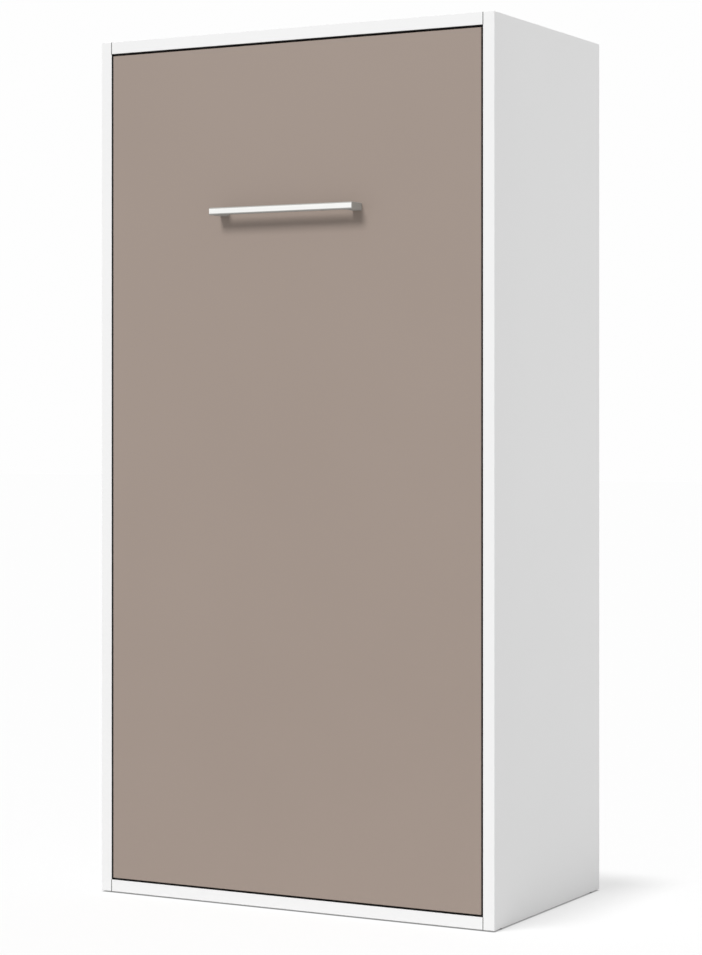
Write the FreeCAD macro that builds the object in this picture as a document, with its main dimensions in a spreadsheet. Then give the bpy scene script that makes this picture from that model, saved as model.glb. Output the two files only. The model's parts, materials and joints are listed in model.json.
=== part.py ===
"""A tall cupboard with a single bed that folds down behind its one door.

Millimetres, +Z up. The door and its handle face -Y, and +X is to the right of someone who
stands before it. The origin is under the middle of the whole object, on the floor.
The bed is modelled folded away. It turns about a pin on each side, near the floor.
"""
import FreeCAD, Part
import os
import re
import Sketcher

SIZES = {
    # the bed decides the cupboard's size
    "mattress_width": 900,
    "mattress_length": 2000,
    "mattress_thickness": 180,
    "mattress_play": 8,          # between the mattress and the bed frame, all round
    "mattress_round": 24,
    "rail_thickness": 22,
    "rail_depth": 100,
    "rail_bevel": 1,
    # the cupboard
    "board": 30,
    "board_bevel": 0.8,
    "carcass_depth": 630,
    "mechanism_gap": 49,         # between the bed frame and a side panel
    "glide_height": 3,
    "glide_radius": 12,
    "glide_inset": 45,
    "back_panel": 8,
    "back_panel_tongue": 8,      # how far it enters the grooves
    "groove_clear": 0.2,
    "rear_rail": 28,
    "rear_rail_height": 120,
    "middle_rail_height": 1031,  # underside of the middle rear rail
    "panel_split_rise": 30,      # split of the back panel, above that underside
    "wall_hole_radius": 5,
    "wall_hole_spacing": 800,
    "wall_hole_clear": 2,        # the back panel's holes are this much wider
    # small round fittings have flats: few on a shank, more on a head, most on an eye or a collar
    "shank_sides": 6,
    "head_sides": 8,
    "hexagon_sides": 6,
    "ring_sides": 12,
    # hidden joints of the boards
    "joint_inset": 70,
    "hole_pitch": 32,
    "drill_clear": 0.1,
    "dowel_radius": 4,
    "dowel_length": 36,
    "dowel_in_side": 12,
    "cam_radius": 7.5,
    "cam_height": 12.5,
    "cam_inset": 34,
    "cam_bolt_radius": 3.5,
    "cam_bolt_in_side": 11,
    # the door
    "door_thickness": 19,
    "door_bevel": 1,
    "gap_side": 5,
    "gap_top": 6,
    "gap_bottom": 5,
    "door_lap_top": 26,          # how far the door passes the bed frame
    "door_lap_bottom": 24,
    # the handle
    "handle_length": 404,
    "handle_projection": 53,
    "handle_bar_depth": 12,
    "handle_bar_height": 18,
    "handle_round": 4,           # on the front edges of the bar
    "handle_height": 1734,       # middle of the bar, above the floor
    "handle_post_width": 26,
    "handle_post_bevel": 1,
    "handle_screw_radius": 2,
    "handle_screw_in_post": 22,
    # the turning point of the bed
    "pivot_height": 330,
    "pivot_depth": 42,           # behind the front of the door
    "pin_radius": 10,
    "pin_flange": 18,
    "pin_flange_thickness": 3,
    "bush_wall": 3,
    "bush_flange": 17,
    "bush_flange_thickness": 2.4,
    "boss_wall": 5,
    "running_clear": 0.05,
    "end_play": 0.4,
    "hinge_plate": 4,
    "hinge_plate_width": 90,
    "hinge_plate_above": 150,
    "hinge_plate_below": 24,
    "hinge_plate_front": 21,     # from the front of the door
    "hinge_screw_first": 55,     # above the pin
    "hinge_screw_pitch": 38,
    "hinge_screw_edge": 18,
    "plate_corner": 14,
    "bed_plate": 6,
    "bed_plate_above": 150,
    "bed_plate_below": 150,
    "bed_plate_width": 78,
    "bed_plate_front": 25,       # from the front of the door
    "bed_screw_first": 62,
    "bed_screw_pitch": 66,
    "screw_radius": 2.5,
    "screw_length": 16,
    "screw_head_radius": 5,
    "screw_head_height": 2.5,
    # the gas springs
    "spring_anchor_back": 120,   # upper eye, behind the pin
    "spring_anchor_up": 420,     # upper eye, above the pin
    "spring_lever_back": 20,     # lower eye, behind the pin
    "spring_lever_down": 118,    # lower eye, below the pin
    "spring_radius": 14,
    "spring_wall": 1.6,
    "spring_length": 330,
    "spring_guide": 22,
    "spring_rod_radius": 7,
    "spring_rod_length": 250,
    "spring_piston": 14,
    "spring_neck": 24,
    "spring_neck_radius": 6.5,
    "eye_radius": 12,
    "eye_width": 14,
    "stud_radius": 5,
    "stud_head_radius": 8,
    "stud_head": 3,
    "spring_bracket": 4,
    "spring_bracket_size": 64,
    # the slats
    "slat_count": 16,
    "slat_width": 58,
    "slat_thickness": 8,
    "slat_bow": 5,
    "slat_depth": 50,            # from the door's inner face
    "slat_end_inset": 105,       # middle of the first slat, from the end of the frame
    "slat_clear": 0.6,
    "holder_depth": 18,
    "holder_wall": 4,
    "mattress_rest": 0.3,
    # angle brackets that hold the frame on the door
    "bracket_count": 5,
    "bracket_leg": 30,
    "bracket_wall": 2.5,
    "bracket_length": 44,
    "bracket_end_inset": 160,
    # elastic straps over the mattress
    "strap_width": 42,
    "strap_thickness": 2,
    "strap_end_inset": 560,
    "strap_anchor": 24,
    # stops behind the door
    "batten_depth": 20,
    "batten_clear": 3,           # to the leg that passes it
    "batten_length": 1000,
    "batten_top": 60,            # below the top board
    "buffer_radius": 7,
    "buffer_height": 1.7,
    "buffer_end_inset": 80,
    "buffer_play": 0.3,
    # the folding leg under the foot of the bed
    "leg_pivot_inset": 288,      # from the foot end of the frame
    "leg_depth": 87,             # behind the front of the door
    "leg_door_clear": 11,
    "leg_tail": 26,
    "leg_spacer": 8,
    "tube_depth": 30,
    "tube_width": 20,
    "tube_wall": 2,
    "tube_bevel": 1.5,
    "cap_thickness": 3,
    "foot_height": 14,
    "foot_overhang": 2,
    "foot_bevel": 3,
    "cross_bar_rise": 80,        # above the floor when the leg stands
    "leg_bolt_radius": 5,
    "leg_bolt_head_radius": 9,
    "leg_bolt_head": 6,
    "leg_collar_radius": 11,
    "leg_nut": 5,
}

# places and lengths that follow from the sizes, in the same names
RULES = {
    "rail_outer": "mattress_width / 2 + mattress_play + rail_thickness",
    "rail_inner": "mattress_width / 2 + mattress_play",
    "inner": "rail_outer + mechanism_gap",
    "frame_length": "mattress_length + 2 * mattress_play + 2 * rail_thickness",
    "frame_bottom": "glide_height + board + gap_bottom + door_lap_bottom",
    "frame_top": "frame_bottom + frame_length",
    "carcass_height": "frame_top + door_lap_top + gap_top + board",
    "floor_top": "glide_height + board",
    "roof": "carcass_height - board",
    "front": "(handle_projection - carcass_depth) / 2",
    "back": "front + carcass_depth",
    "panel_front": "back - rear_rail - back_panel",
    "panel_split": "middle_rail_height + panel_split_rise",
    "door_inside": "front + door_thickness",
    "pivot_y": "front + pivot_depth",
    "flat_share": "cos(180 deg / ring_sides)",
    "eye_bore": "(stud_radius + running_clear) / flat_share",
    "rod_bore": "(spring_rod_radius + running_clear) / flat_share",
    "leg_bore": "(leg_bolt_radius + running_clear) / flat_share",
    "piston_bore": "spring_radius - spring_wall",
    "bore_radius": "pin_radius + running_clear",
    "bush_radius": "pin_radius + bush_wall",
    "bush_seat": "bush_radius + running_clear",
    "bed_plate_face": "rail_outer + bed_plate",
    "hinge_plate_face": "inner - hinge_plate",
    "boss_end": "bed_plate_face + pin_flange_thickness + end_play + bush_flange_thickness",
    "hinge_plate_y": "front + hinge_plate_front",
    "bed_plate_y": "front + bed_plate_front",
    "anchor_y": "pivot_y + spring_anchor_back",
    "anchor_z": "pivot_height + spring_anchor_up",
    "lever_y": "pivot_y + spring_lever_back",
    "lever_z": "pivot_height - spring_lever_down",
    "spring_run_y": "spring_anchor_back - spring_lever_back",
    "spring_run_z": "spring_anchor_up + spring_lever_down",
    "spring_middle": "(bed_plate_face + hinge_plate_face) / 2",
    "slat_half": "rail_inner - holder_wall - mattress_rest",
    "slat_foot": "door_inside + slat_depth",
    "slat_run": "frame_length - 2 * slat_end_inset",
    "mattress_back": "slat_foot + slat_thickness + slat_bow + mattress_rest",
    "mattress_face": "mattress_back + mattress_thickness",
    "strap_outer": "mattress_width / 2 + mattress_rest + strap_thickness",
    "strap_face": "mattress_face + mattress_rest",
    "strap_low": "door_inside + rail_depth - strap_anchor",
    "leg_y": "front + leg_depth",
    "leg_z": "frame_top - leg_pivot_inset",
    "leg_reach": "leg_pivot_inset + door_lap_top + leg_door_clear + tube_depth / 2",
    "leg_stand": "pivot_height + leg_depth - pivot_depth",
    "leg_inner": "rail_outer + leg_spacer",
    "post_z": "leg_z - leg_reach",
    "batten_width": "mechanism_gap - leg_spacer - tube_width - batten_clear",
    "batten_y": "door_inside + buffer_height + buffer_play",
    "batten_bottom": "roof - batten_top - batten_length",
    "handle_end": "handle_length / 2",
    "post_middle": "handle_end - handle_post_width / 2",
    "handle_inside": "front - handle_projection + handle_bar_depth",
}

SIDES = ("left", "right")

doc = FreeCAD.newDocument("wall_bed")
sheet = doc.addObject("Spreadsheet::Sheet", "sizes")
for row, (alias, value) in enumerate(SIZES.items(), start=1):
    sheet.set(f"A{row}", alias)
    sheet.set(f"B{row}", str(value))
    sheet.setAlias(f"B{row}", alias)
doc.recompute()

TURNS = {
    "X": FreeCAD.Rotation(FreeCAD.Vector(0, 1, 0), 90),
    "Y": FreeCAD.Rotation(FreeCAD.Vector(1, 0, 0), -90),
    "Z": FreeCAD.Rotation(),
}
sub_parts = []


def rule(words):
    """Turn a rule in plain names into an expression on the sheet."""
    def swap(found):
        name = found.group(0)
        if name in RULES:
            return "(" + rule(RULES[name]) + ")"
        if name in SIZES:
            return "sizes." + name
        return name
    return re.sub(r"[a-z][a-z_0-9]*", swap, words)


def bind(thing, **rules):
    """Bind properties of an object to rules."""
    for name, words in rules.items():
        thing.setExpression(name, rule(words))


def place(thing, at):
    """Bind an object's place to three rules."""
    for axis, words in zip("xyz", at):
        thing.setExpression("Placement.Base." + axis, rule(words))


def outward(side, near, depth):
    """Lower x of a piece that reaches from near to near + depth, away from the middle."""
    if side == "right":
        return near
    return f"-(({near}) + ({depth}))"


def new_body(label, at=("0", "0", "0")):
    """An empty body with a place of its own, kept as a sub-part."""
    body = doc.addObject("PartDesign::Body", label)
    body.Label = label
    body.AllowCompound = True
    place(body, at)
    sub_parts.append(body)
    return body


def block(body, at, size, cut=False):
    """A rectangular block added to a body, or cut from it."""
    kind = "PartDesign::SubtractiveBox" if cut else "PartDesign::AdditiveBox"
    feature = body.newObject(kind, body.Name + "_block")
    bind(feature, Length=size[0], Width=size[1], Height=size[2])
    place(feature, at)
    return feature


def round_bar(body, at, radius, length, along, cut=False):
    """A cylinder along X, Y or Z added to a body, or bored into it."""
    kind = "PartDesign::SubtractiveCylinder" if cut else "PartDesign::AdditiveCylinder"
    feature = body.newObject(kind, body.Name + "_bar")
    feature.Placement = FreeCAD.Placement(FreeCAD.Vector(), TURNS[along])
    bind(feature, Radius=radius, Height=length)
    place(feature, at)
    return feature


def flat_bar(body, at, radius, length, along, sides="shank_sides", cut=False):
    """A bar with flats along X, Y or Z added to a body, or a hole of that form."""
    kind = "PartDesign::SubtractivePrism" if cut else "PartDesign::AdditivePrism"
    feature = body.newObject(kind, body.Name + "_flats")
    feature.Placement = FreeCAD.Placement(FreeCAD.Vector(), TURNS[along])
    bind(feature, Polygon=sides, Circumradius=radius, Height=length)
    place(feature, at)
    return feature


def edges_of(feature, along, front_only=False):
    """Names of a feature's straight edges: all of them or those along one axis, all round or in front."""
    names = []
    middle = feature.Shape.BoundBox.Center.y
    for number, edge in enumerate(feature.Shape.Edges, start=1):
        run = edge.lastVertex().Point - edge.firstVertex().Point
        lengths = {"X": abs(run.x), "Y": abs(run.y), "Z": abs(run.z)}
        wanted = along is None or max(lengths, key=lengths.get) == along
        if wanted and not (front_only and edge.CenterOfMass.y > middle):
            names.append(f"Edge{number}")
    return names


def round_edges(body, radius, along, front_only=False):
    """Round a body's edges that run along one axis, all of them or those in front."""
    doc.recompute()
    base = body.Tip
    fillet = body.newObject("PartDesign::Fillet", body.Name + "_round")
    fillet.Base = (base, edges_of(base, along, front_only))
    bind(fillet, Radius=radius)


def bevel_edges(body, size, along=None):
    """Bevel a body's edges, all of them or those that run along one axis."""
    doc.recompute()
    base = body.Tip
    bevel = body.newObject("PartDesign::Chamfer", body.Name + "_bevel")
    bevel.Base = (base, edges_of(base, along))
    bind(bevel, Size=size)


def repeat_up(body, features, run, count):
    """Repeat features upwards, evenly over a run."""
    pattern = body.newObject("PartDesign::LinearPattern", body.Name + "_row")
    pattern.Originals = features
    upright = [axis for axis in body.Origin.OriginFeatures if axis.Role == "Z_Axis"][0]
    pattern.Direction = (upright, [""])
    bind(pattern, Length=run, Occurrences=count)
    body.Tip = pattern
    return pattern


def peg(name, at, radius, length, along, sides="shank_sides"):
    """A plain piece with flats, one of a group."""
    made = doc.addObject("Part::Prism", name)
    made.Placement = FreeCAD.Placement(FreeCAD.Vector(), TURNS[along])
    bind(made, Polygon=sides, Circumradius=radius, Height=length)
    place(made, at)
    return made


def group(label, pieces):
    """Loose pieces of one kind, kept as one sub-part."""
    made = doc.addObject("Part::Compound", label)
    made.Label = label
    made.Links = pieces
    sub_parts.append(made)
    return made


# hidden joints of the cupboard: where cams and dowels sit along the boards
CAM_PLACES = ("front + joint_inset", "panel_front - joint_inset")
DOWEL_PLACES = ("front + joint_inset + hole_pitch", "panel_front - joint_inset - hole_pitch")
LEVELS = {"top": "carcass_height - board / 2", "bottom": "glide_height + board / 2"}
REAR_RAILS = {
    "top": "roof - rear_rail_height",
    "middle": "middle_rail_height",
    "bottom": "floor_top",
}
RAIL_DOWELS = ("rear_rail_height / 2 - hole_pitch", "rear_rail_height / 2 + hole_pitch")


def side_dowels():
    """Every dowel's y and z, the same on both sides."""
    places = [(y, z) for z in LEVELS.values() for y in DOWEL_PLACES]
    for bottom in REAR_RAILS.values():
        places += [("back - rear_rail / 2", f"{bottom} + {rise}") for rise in RAIL_DOWELS]
    return places


def hinge_screws():
    """y and z of the screws that hold a hinge plate on its side panel."""
    columns = ("hinge_plate_y + hinge_screw_edge",
               "hinge_plate_y + hinge_plate_width - hinge_screw_edge")
    rows = [f"pivot_height + hinge_screw_first + {step} * hinge_screw_pitch" for step in range(3)]
    return [(y, z) for y in columns for z in rows]


def make_side_panel(side):
    """A full-height side with its grooves and drilled holes."""
    body = new_body(f"side_panel_{side}")
    block(body, (outward(side, "inner", "board"), "front", "glide_height"),
          ("board", "carcass_depth", "carcass_height - glide_height"))
    bevel_edges(body, "board_bevel")
    block(body, (outward(side, "inner", "back_panel_tongue"), "panel_front - groove_clear",
                 "floor_top - back_panel_tongue"),
          ("back_panel_tongue", "back_panel + 2 * groove_clear",
           "roof - floor_top + 2 * back_panel_tongue"), cut=True)
    for y, z in side_dowels():
        flat_bar(body, (outward(side, "inner", "dowel_in_side"), y, z),
                 "dowel_radius + drill_clear", "dowel_in_side", "X", cut=True)
    for z in LEVELS.values():
        for y in CAM_PLACES:
            flat_bar(body, (outward(side, "inner", "cam_bolt_in_side"), y, z),
                     "cam_bolt_radius + drill_clear", "cam_bolt_in_side", "X", cut=True)
    for y, z in hinge_screws():
        flat_bar(body, (outward(side, "inner", "screw_length"), y, z),
                 "screw_radius + drill_clear", "screw_length", "X", cut=True)


def make_level(name):
    """The top or bottom board, between the sides, with its groove and its joint holes."""
    body = new_body(f"{name}_board")
    middle = LEVELS[name]
    block(body, ("-inner", "front", f"{middle} - board / 2"),
          ("2 * inner", "carcass_depth", "board"))
    bevel_edges(body, "board_bevel")
    inside = {"top": "roof", "bottom": "floor_top"}[name]
    groove = {"top": "roof", "bottom": "floor_top - back_panel_tongue"}[name]
    block(body, ("-inner", "panel_front - groove_clear", groove),
          ("2 * inner", "back_panel + 2 * groove_clear", "back_panel_tongue"), cut=True)
    cam_hole = {"top": inside, "bottom": f"{inside} - cam_height - drill_clear"}[name]
    for side in SIDES:
        for y in DOWEL_PLACES:
            in_board = "dowel_length - dowel_in_side"
            flat_bar(body, (outward(side, f"inner - ({in_board})", in_board), y, middle),
                     "dowel_radius + drill_clear", in_board, "X", cut=True)
        for y in CAM_PLACES:
            flat_bar(body, (outward(side, "inner - cam_inset", "cam_inset"), y, middle),
                     "cam_bolt_radius + drill_clear", "cam_inset", "X", cut=True)
            x = outward(side, "inner - cam_inset", "0")
            flat_bar(body, (x, y, cam_hole), "cam_radius + drill_clear",
                     "cam_height + drill_clear", "Z", "head_sides", cut=True)


def make_rear_rail(name):
    """A rail behind the back panel, drilled for its dowels and for the wall bolts."""
    body = new_body(f"rear_rail_{name}")
    bottom = REAR_RAILS[name]
    block(body, ("-inner", "back - rear_rail", bottom),
          ("2 * inner", "rear_rail", "rear_rail_height"))
    in_rail = "dowel_length - dowel_in_side"
    for side in SIDES:
        for rise in RAIL_DOWELS:
            at = (outward(side, f"inner - ({in_rail})", in_rail),
                  "back - rear_rail / 2", f"{bottom} + {rise}")
            flat_bar(body, at, "dowel_radius + drill_clear", in_rail, "X", cut=True)
        if name != "bottom":
            at = (outward(side, "wall_hole_spacing / 2", "0"), "back - rear_rail",
                  f"{bottom} + rear_rail_height / 2")
            round_bar(body, at, "wall_hole_radius", "rear_rail", "Y", cut=True)


def make_back_panel(name):
    """One half of the thin back, held in the grooves. Wall bolts pass through the upper one."""
    body = new_body(f"back_panel_{name}")
    bottom, top = {
        "lower": ("floor_top - back_panel_tongue + groove_clear", "panel_split"),
        "upper": ("panel_split", "roof + back_panel_tongue - groove_clear"),
    }[name]
    block(body, ("-inner - back_panel_tongue + groove_clear", "panel_front", bottom),
          ("2 * (inner + back_panel_tongue - groove_clear)", "back_panel",
           f"{top} - ({bottom})"))
    if name == "lower":
        return
    for rail in ("middle", "top"):
        for side in SIDES:
            at = (outward(side, "wall_hole_spacing / 2", "0"), "panel_front",
                  f"{REAR_RAILS[rail]} + rear_rail_height / 2")
            flat_bar(body, at, "wall_hole_radius + wall_hole_clear", "back_panel", "Y",
                     "head_sides", cut=True)


def make_joint_hardware():
    """Dowels, cams with their bolts, and the glides under the cupboard."""
    dowels = []
    bolts = []
    for side in SIDES:
        for y, z in side_dowels():
            x = outward(side, "inner - dowel_length + dowel_in_side", "dowel_length")
            dowels.append(peg("dowel", (x, y, z), "dowel_radius", "dowel_length", "X"))
        for name, z in LEVELS.items():
            foot = {"top": "roof + drill_clear", "bottom": "floor_top - cam_height - drill_clear"}[name]
            reach = "cam_inset - cam_radius + cam_bolt_in_side"
            for y in CAM_PLACES:
                x = outward(side, "inner - cam_inset", "0")
                bolts.append(peg("cam", (x, y, foot), "cam_radius", "cam_height", "Z", "head_sides"))
                x = outward(side, "inner - cam_inset + cam_radius", reach)
                bolts.append(peg("cam_bolt", (x, y, z), "cam_bolt_radius", reach, "X"))
    group("joint_dowels", dowels)
    group("cam_fittings", bolts)
    glides = []
    for y in ("front + glide_inset", "back - glide_inset"):
        for x in ("-inner - board / 2", "0", "inner + board / 2"):
            glides.append(peg("glide", (x, y, "0"), "glide_radius", "glide_height", "Z", "head_sides"))
    group("floor_glides", glides)


def make_stops():
    """A batten on each side that the door closes against, with soft buffers."""
    buffers = []
    for side in SIDES:
        body = new_body(f"stop_batten_{side}")
        block(body, (outward(side, "inner - batten_width", "batten_width"), "batten_y", "batten_bottom"),
              ("batten_width", "batten_depth", "batten_length"))
        bevel_edges(body, "board_bevel")
        x = outward(side, "inner - batten_width / 2", "0")
        for z in ("batten_bottom + buffer_end_inset", "batten_bottom + batten_length - buffer_end_inset"):
            buffers.append(peg("buffer", (x, "batten_y - buffer_height", z),
                               "buffer_radius", "buffer_height", "Y", "head_sides"))
    group("door_buffers", buffers)


def make_hinge(side):
    """The fixed plate with its boss, the bush in it, and the pin and plate on the bed.

    The bush has flats outside, so that it can't turn in its boss, and a round bore for the pin.
    """
    plate = new_body(f"hinge_plate_{side}")
    block(plate, (outward(side, "hinge_plate_face", "hinge_plate"), "hinge_plate_y",
                  "pivot_height - hinge_plate_below"),
          ("hinge_plate", "hinge_plate_width", "hinge_plate_above + hinge_plate_below"))
    bevel_edges(plate, "plate_corner", along="X")
    boss = "hinge_plate_face - boss_end"
    round_bar(plate, (outward(side, "boss_end", boss), "pivot_y", "pivot_height"),
              "bush_seat + boss_wall", boss, "X")
    flat_bar(plate, (outward(side, "boss_end", "inner - boss_end"), "pivot_y", "pivot_height"),
             "bush_seat", "inner - boss_end", "X", "ring_sides", cut=True)
    for y, z in hinge_screws():
        flat_bar(plate, (outward(side, "hinge_plate_face", "hinge_plate"), y, z),
                 "screw_radius + drill_clear", "hinge_plate", "X", cut=True)

    bush = new_body(f"pivot_bush_{side}")
    sleeve = "inner - boss_end"
    flat_bar(bush, (outward(side, "boss_end", sleeve), "pivot_y", "pivot_height"),
             "bush_radius", sleeve, "X", "ring_sides")
    flat_bar(bush, (outward(side, "boss_end - bush_flange_thickness", "bush_flange_thickness"),
                    "pivot_y", "pivot_height"), "bush_flange", "bush_flange_thickness", "X", "ring_sides")
    whole = f"{sleeve} + bush_flange_thickness"
    round_bar(bush, (outward(side, "boss_end - bush_flange_thickness", whole), "pivot_y", "pivot_height"),
              "bore_radius", whole, "X", cut=True)

    shaft = new_body(f"pivot_pin_{side}")
    length = "inner - end_play - bed_plate_face"
    round_bar(shaft, (outward(side, "bed_plate_face", length), "pivot_y", "pivot_height"),
              "pin_radius", length, "X")
    flat_bar(shaft, (outward(side, "bed_plate_face", "pin_flange_thickness"), "pivot_y", "pivot_height"),
             "pin_flange", "pin_flange_thickness", "X", "hexagon_sides")

    wing = new_body(f"bed_plate_{side}")
    block(wing, (outward(side, "rail_outer", "bed_plate"), "bed_plate_y",
                 "pivot_height - bed_plate_below"),
          ("bed_plate", "bed_plate_width", "bed_plate_above + bed_plate_below"))
    bevel_edges(wing, "plate_corner", along="X")
    for y, z in bed_screws():
        flat_bar(wing, (outward(side, "rail_outer", "bed_plate"), y, z),
                 "screw_radius + drill_clear", "bed_plate", "X", cut=True)


def bed_screws():
    """y and z of the screws that hold a bed plate on its rail, above the pin."""
    columns = ("bed_plate_y + hinge_screw_edge",
               "bed_plate_y + bed_plate_width - hinge_screw_edge")
    rows = [f"pivot_height + bed_screw_first + {step} * bed_screw_pitch" for step in range(2)]
    return [(y, z) for y in columns for z in rows]


def make_screw(name, side, face, at, turned_in):
    """A round-headed screw whose head lies on a plate's face; turned_in says it points inwards."""
    body = doc.addObject("PartDesign::Body", name)
    y, z = at
    head = f"{face} - screw_head_height" if not turned_in else face
    shank = face if not turned_in else f"{face} - screw_length"
    flat_bar(body, (outward(side, head, "screw_head_height"), y, z),
             "screw_head_radius", "screw_head_height", "X", "head_sides")
    flat_bar(body, (outward(side, shank, "screw_length"), y, z), "screw_radius", "screw_length", "X")
    return body


def make_screws():
    """The screws of the hinge plates and of the bed plates, a group each."""
    fixed = []
    moving = []
    for side in SIDES:
        for at in hinge_screws():
            fixed.append(make_screw("hinge_screw", side, "hinge_plate_face", at, False))
        for at in bed_screws():
            moving.append(make_screw("bed_screw", side, "bed_plate_face", at, True))
    group("hinge_screws", fixed)
    group("bed_plate_screws", moving)


def make_gas_spring(side):
    """A gas spring between the side panel and the bed plate, with the bracket that carries it."""
    lean = "atan2(spring_run_y; spring_run_z)"
    # this sets the axis of the lean, and the rule above then sets its angle
    some_lean = 10
    leaning = FreeCAD.Placement(FreeCAD.Vector(), FreeCAD.Rotation(FreeCAD.Vector(-1, 0, 0), some_lean))
    middle = outward(side, "spring_middle", "0")

    cylinder = new_body(f"gas_cylinder_{side}")
    cylinder.Placement = leaning
    cylinder.setExpression("Placement.Rotation.Angle", rule(lean))
    place(cylinder, (middle, "anchor_y", "anchor_z"))
    round_bar(cylinder, ("0", "0", "-spring_neck - spring_length"), "spring_radius", "spring_length", "Z")
    flat_bar(cylinder, ("0", "0", "-spring_neck"), "spring_neck_radius", "spring_neck", "Z", "ring_sides")
    flat_bar(cylinder, ("-eye_width / 2", "0", "0"), "eye_radius", "eye_width", "X", "ring_sides")
    flat_bar(cylinder, ("-eye_width / 2", "0", "0"), "eye_bore", "eye_width", "X", "ring_sides", cut=True)
    flat_bar(cylinder, ("0", "0", "-spring_neck - spring_length + spring_guide"),
             "piston_bore", "spring_length - 2 * spring_guide", "Z", "ring_sides", cut=True)
    flat_bar(cylinder, ("0", "0", "-spring_neck - spring_length"),
             "rod_bore", "spring_guide", "Z", "ring_sides", cut=True)

    rod = new_body(f"gas_rod_{side}")
    rod.Placement = leaning
    rod.setExpression("Placement.Rotation.Angle", rule(lean))
    place(rod, (middle, "lever_y", "lever_z"))
    round_bar(rod, ("0", "0", "0"), "spring_rod_radius", "spring_rod_length", "Z")
    flat_bar(rod, ("0", "0", "spring_rod_length - spring_piston"),
             "piston_bore - running_clear", "spring_piston", "Z", "ring_sides")
    flat_bar(rod, ("-eye_width / 2", "0", "0"), "eye_radius", "eye_width", "X", "ring_sides")
    stud = "spring_middle - bed_plate_face - end_play"
    start = {"left": "0", "right": f"-({stud})"}[side]
    flat_bar(rod, (start, "0", "0"), "stud_radius", stud, "X", "ring_sides")

    bracket = new_body(f"spring_bracket_{side}")
    block(bracket, (outward(side, "inner - spring_bracket", "spring_bracket"),
                    "anchor_y - spring_bracket_size / 2", "anchor_z - spring_bracket_size / 2"),
          ("spring_bracket", "spring_bracket_size", "spring_bracket_size"))
    bevel_edges(bracket, "plate_corner", along="X")
    inside = "spring_middle - eye_width / 2 - end_play"
    reach = f"inner - spring_bracket - ({inside})"
    flat_bar(bracket, (outward(side, inside, reach), "anchor_y", "anchor_z"),
             "stud_radius", reach, "X", "ring_sides")
    flat_bar(bracket, (outward(side, f"{inside} - stud_head", "stud_head"), "anchor_y", "anchor_z"),
             "stud_head_radius", "stud_head", "X", "hexagon_sides")


def make_door():
    """The one door panel, which the bed is fixed to, drilled for the handle's screws."""
    body = new_body("door_panel")
    bottom = "floor_top + gap_bottom"
    block(body, ("-inner + gap_side", "front", bottom),
          ("2 * (inner - gap_side)", "door_thickness", f"roof - gap_top - ({bottom})"))
    bevel_edges(body, "door_bevel")
    for side in SIDES:
        at = (outward(side, "post_middle", "0"), "front", "handle_height")
        flat_bar(body, at, "handle_screw_radius + drill_clear", "door_thickness", "Y", cut=True)


def make_handle():
    """A straight bar on two posts that are flush with its ends, screwed on from inside."""
    bar = new_body("handle_bar")
    block(bar, ("-handle_end", "front - handle_projection", "handle_height - handle_bar_height / 2"),
          ("handle_length", "handle_bar_depth", "handle_bar_height"))
    round_edges(bar, "handle_round", along="X", front_only=True)
    post_depth = "handle_projection - handle_bar_depth"
    screws = []
    for side in SIDES:
        post = new_body(f"handle_post_{side}")
        block(post, (outward(side, "handle_end - handle_post_width", "handle_post_width"),
                     "handle_inside", "handle_height - handle_bar_height / 2"),
              ("handle_post_width", post_depth, "handle_bar_height"))
        bevel_edges(post, "handle_post_bevel", along="Y")
        x = outward(side, "post_middle", "0")
        flat_bar(post, (x, "front - handle_screw_in_post", "handle_height"),
                 "handle_screw_radius + drill_clear", "handle_screw_in_post", "Y", cut=True)
        screw = doc.addObject("PartDesign::Body", "handle_screw")
        flat_bar(screw, (x, "front - handle_screw_in_post", "handle_height"), "handle_screw_radius",
                 "handle_screw_in_post + door_thickness", "Y")
        flat_bar(screw, (x, "door_inside", "handle_height"),
                 "screw_head_radius", "screw_head_height", "Y", "head_sides")
        screws.append(screw)
    group("handle_screws", screws)


def make_bed_frame():
    """Two long rails and two end rails on the door, with the steel angles that hold them."""
    for side in SIDES:
        rail = new_body(f"bed_rail_{side}")
        block(rail, (outward(side, "rail_inner", "rail_thickness"), "door_inside", "frame_bottom"),
              ("rail_thickness", "rail_depth", "frame_length"))
        bevel_edges(rail, "rail_bevel")
        hole = (outward(side, "rail_inner", "rail_thickness"), "leg_y", "leg_z")
        flat_bar(rail, hole, "leg_bolt_radius + drill_clear", "rail_thickness", "X", "ring_sides", cut=True)
        for y, z in bed_screws():
            deep = "screw_length - bed_plate"
            flat_bar(rail, (outward(side, f"rail_outer - ({deep})", deep), y, z),
                     "screw_radius + drill_clear", deep, "X", cut=True)
    for name, z in (("head_rail", "frame_bottom"), ("foot_rail", "frame_top - rail_thickness")):
        rail = new_body(name)
        block(rail, ("-rail_inner", "door_inside", z), ("2 * rail_inner", "rail_depth", "rail_thickness"))
        bevel_edges(rail, "rail_bevel")
    for side in SIDES:
        angles = new_body(f"frame_angles_{side}")
        first = "frame_bottom + bracket_end_inset"
        upright = block(angles, (outward(side, "rail_inner - bracket_wall", "bracket_wall"),
                                 "door_inside", first),
                        ("bracket_wall", "bracket_leg", "bracket_length"))
        flat = block(angles, (outward(side, "rail_inner - bracket_leg", "bracket_leg"), "door_inside", first),
                     ("bracket_leg", "bracket_wall", "bracket_length"))
        repeat_up(angles, [upright, flat],
                  "frame_length - 2 * bracket_end_inset - bracket_length", "bracket_count")


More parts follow.
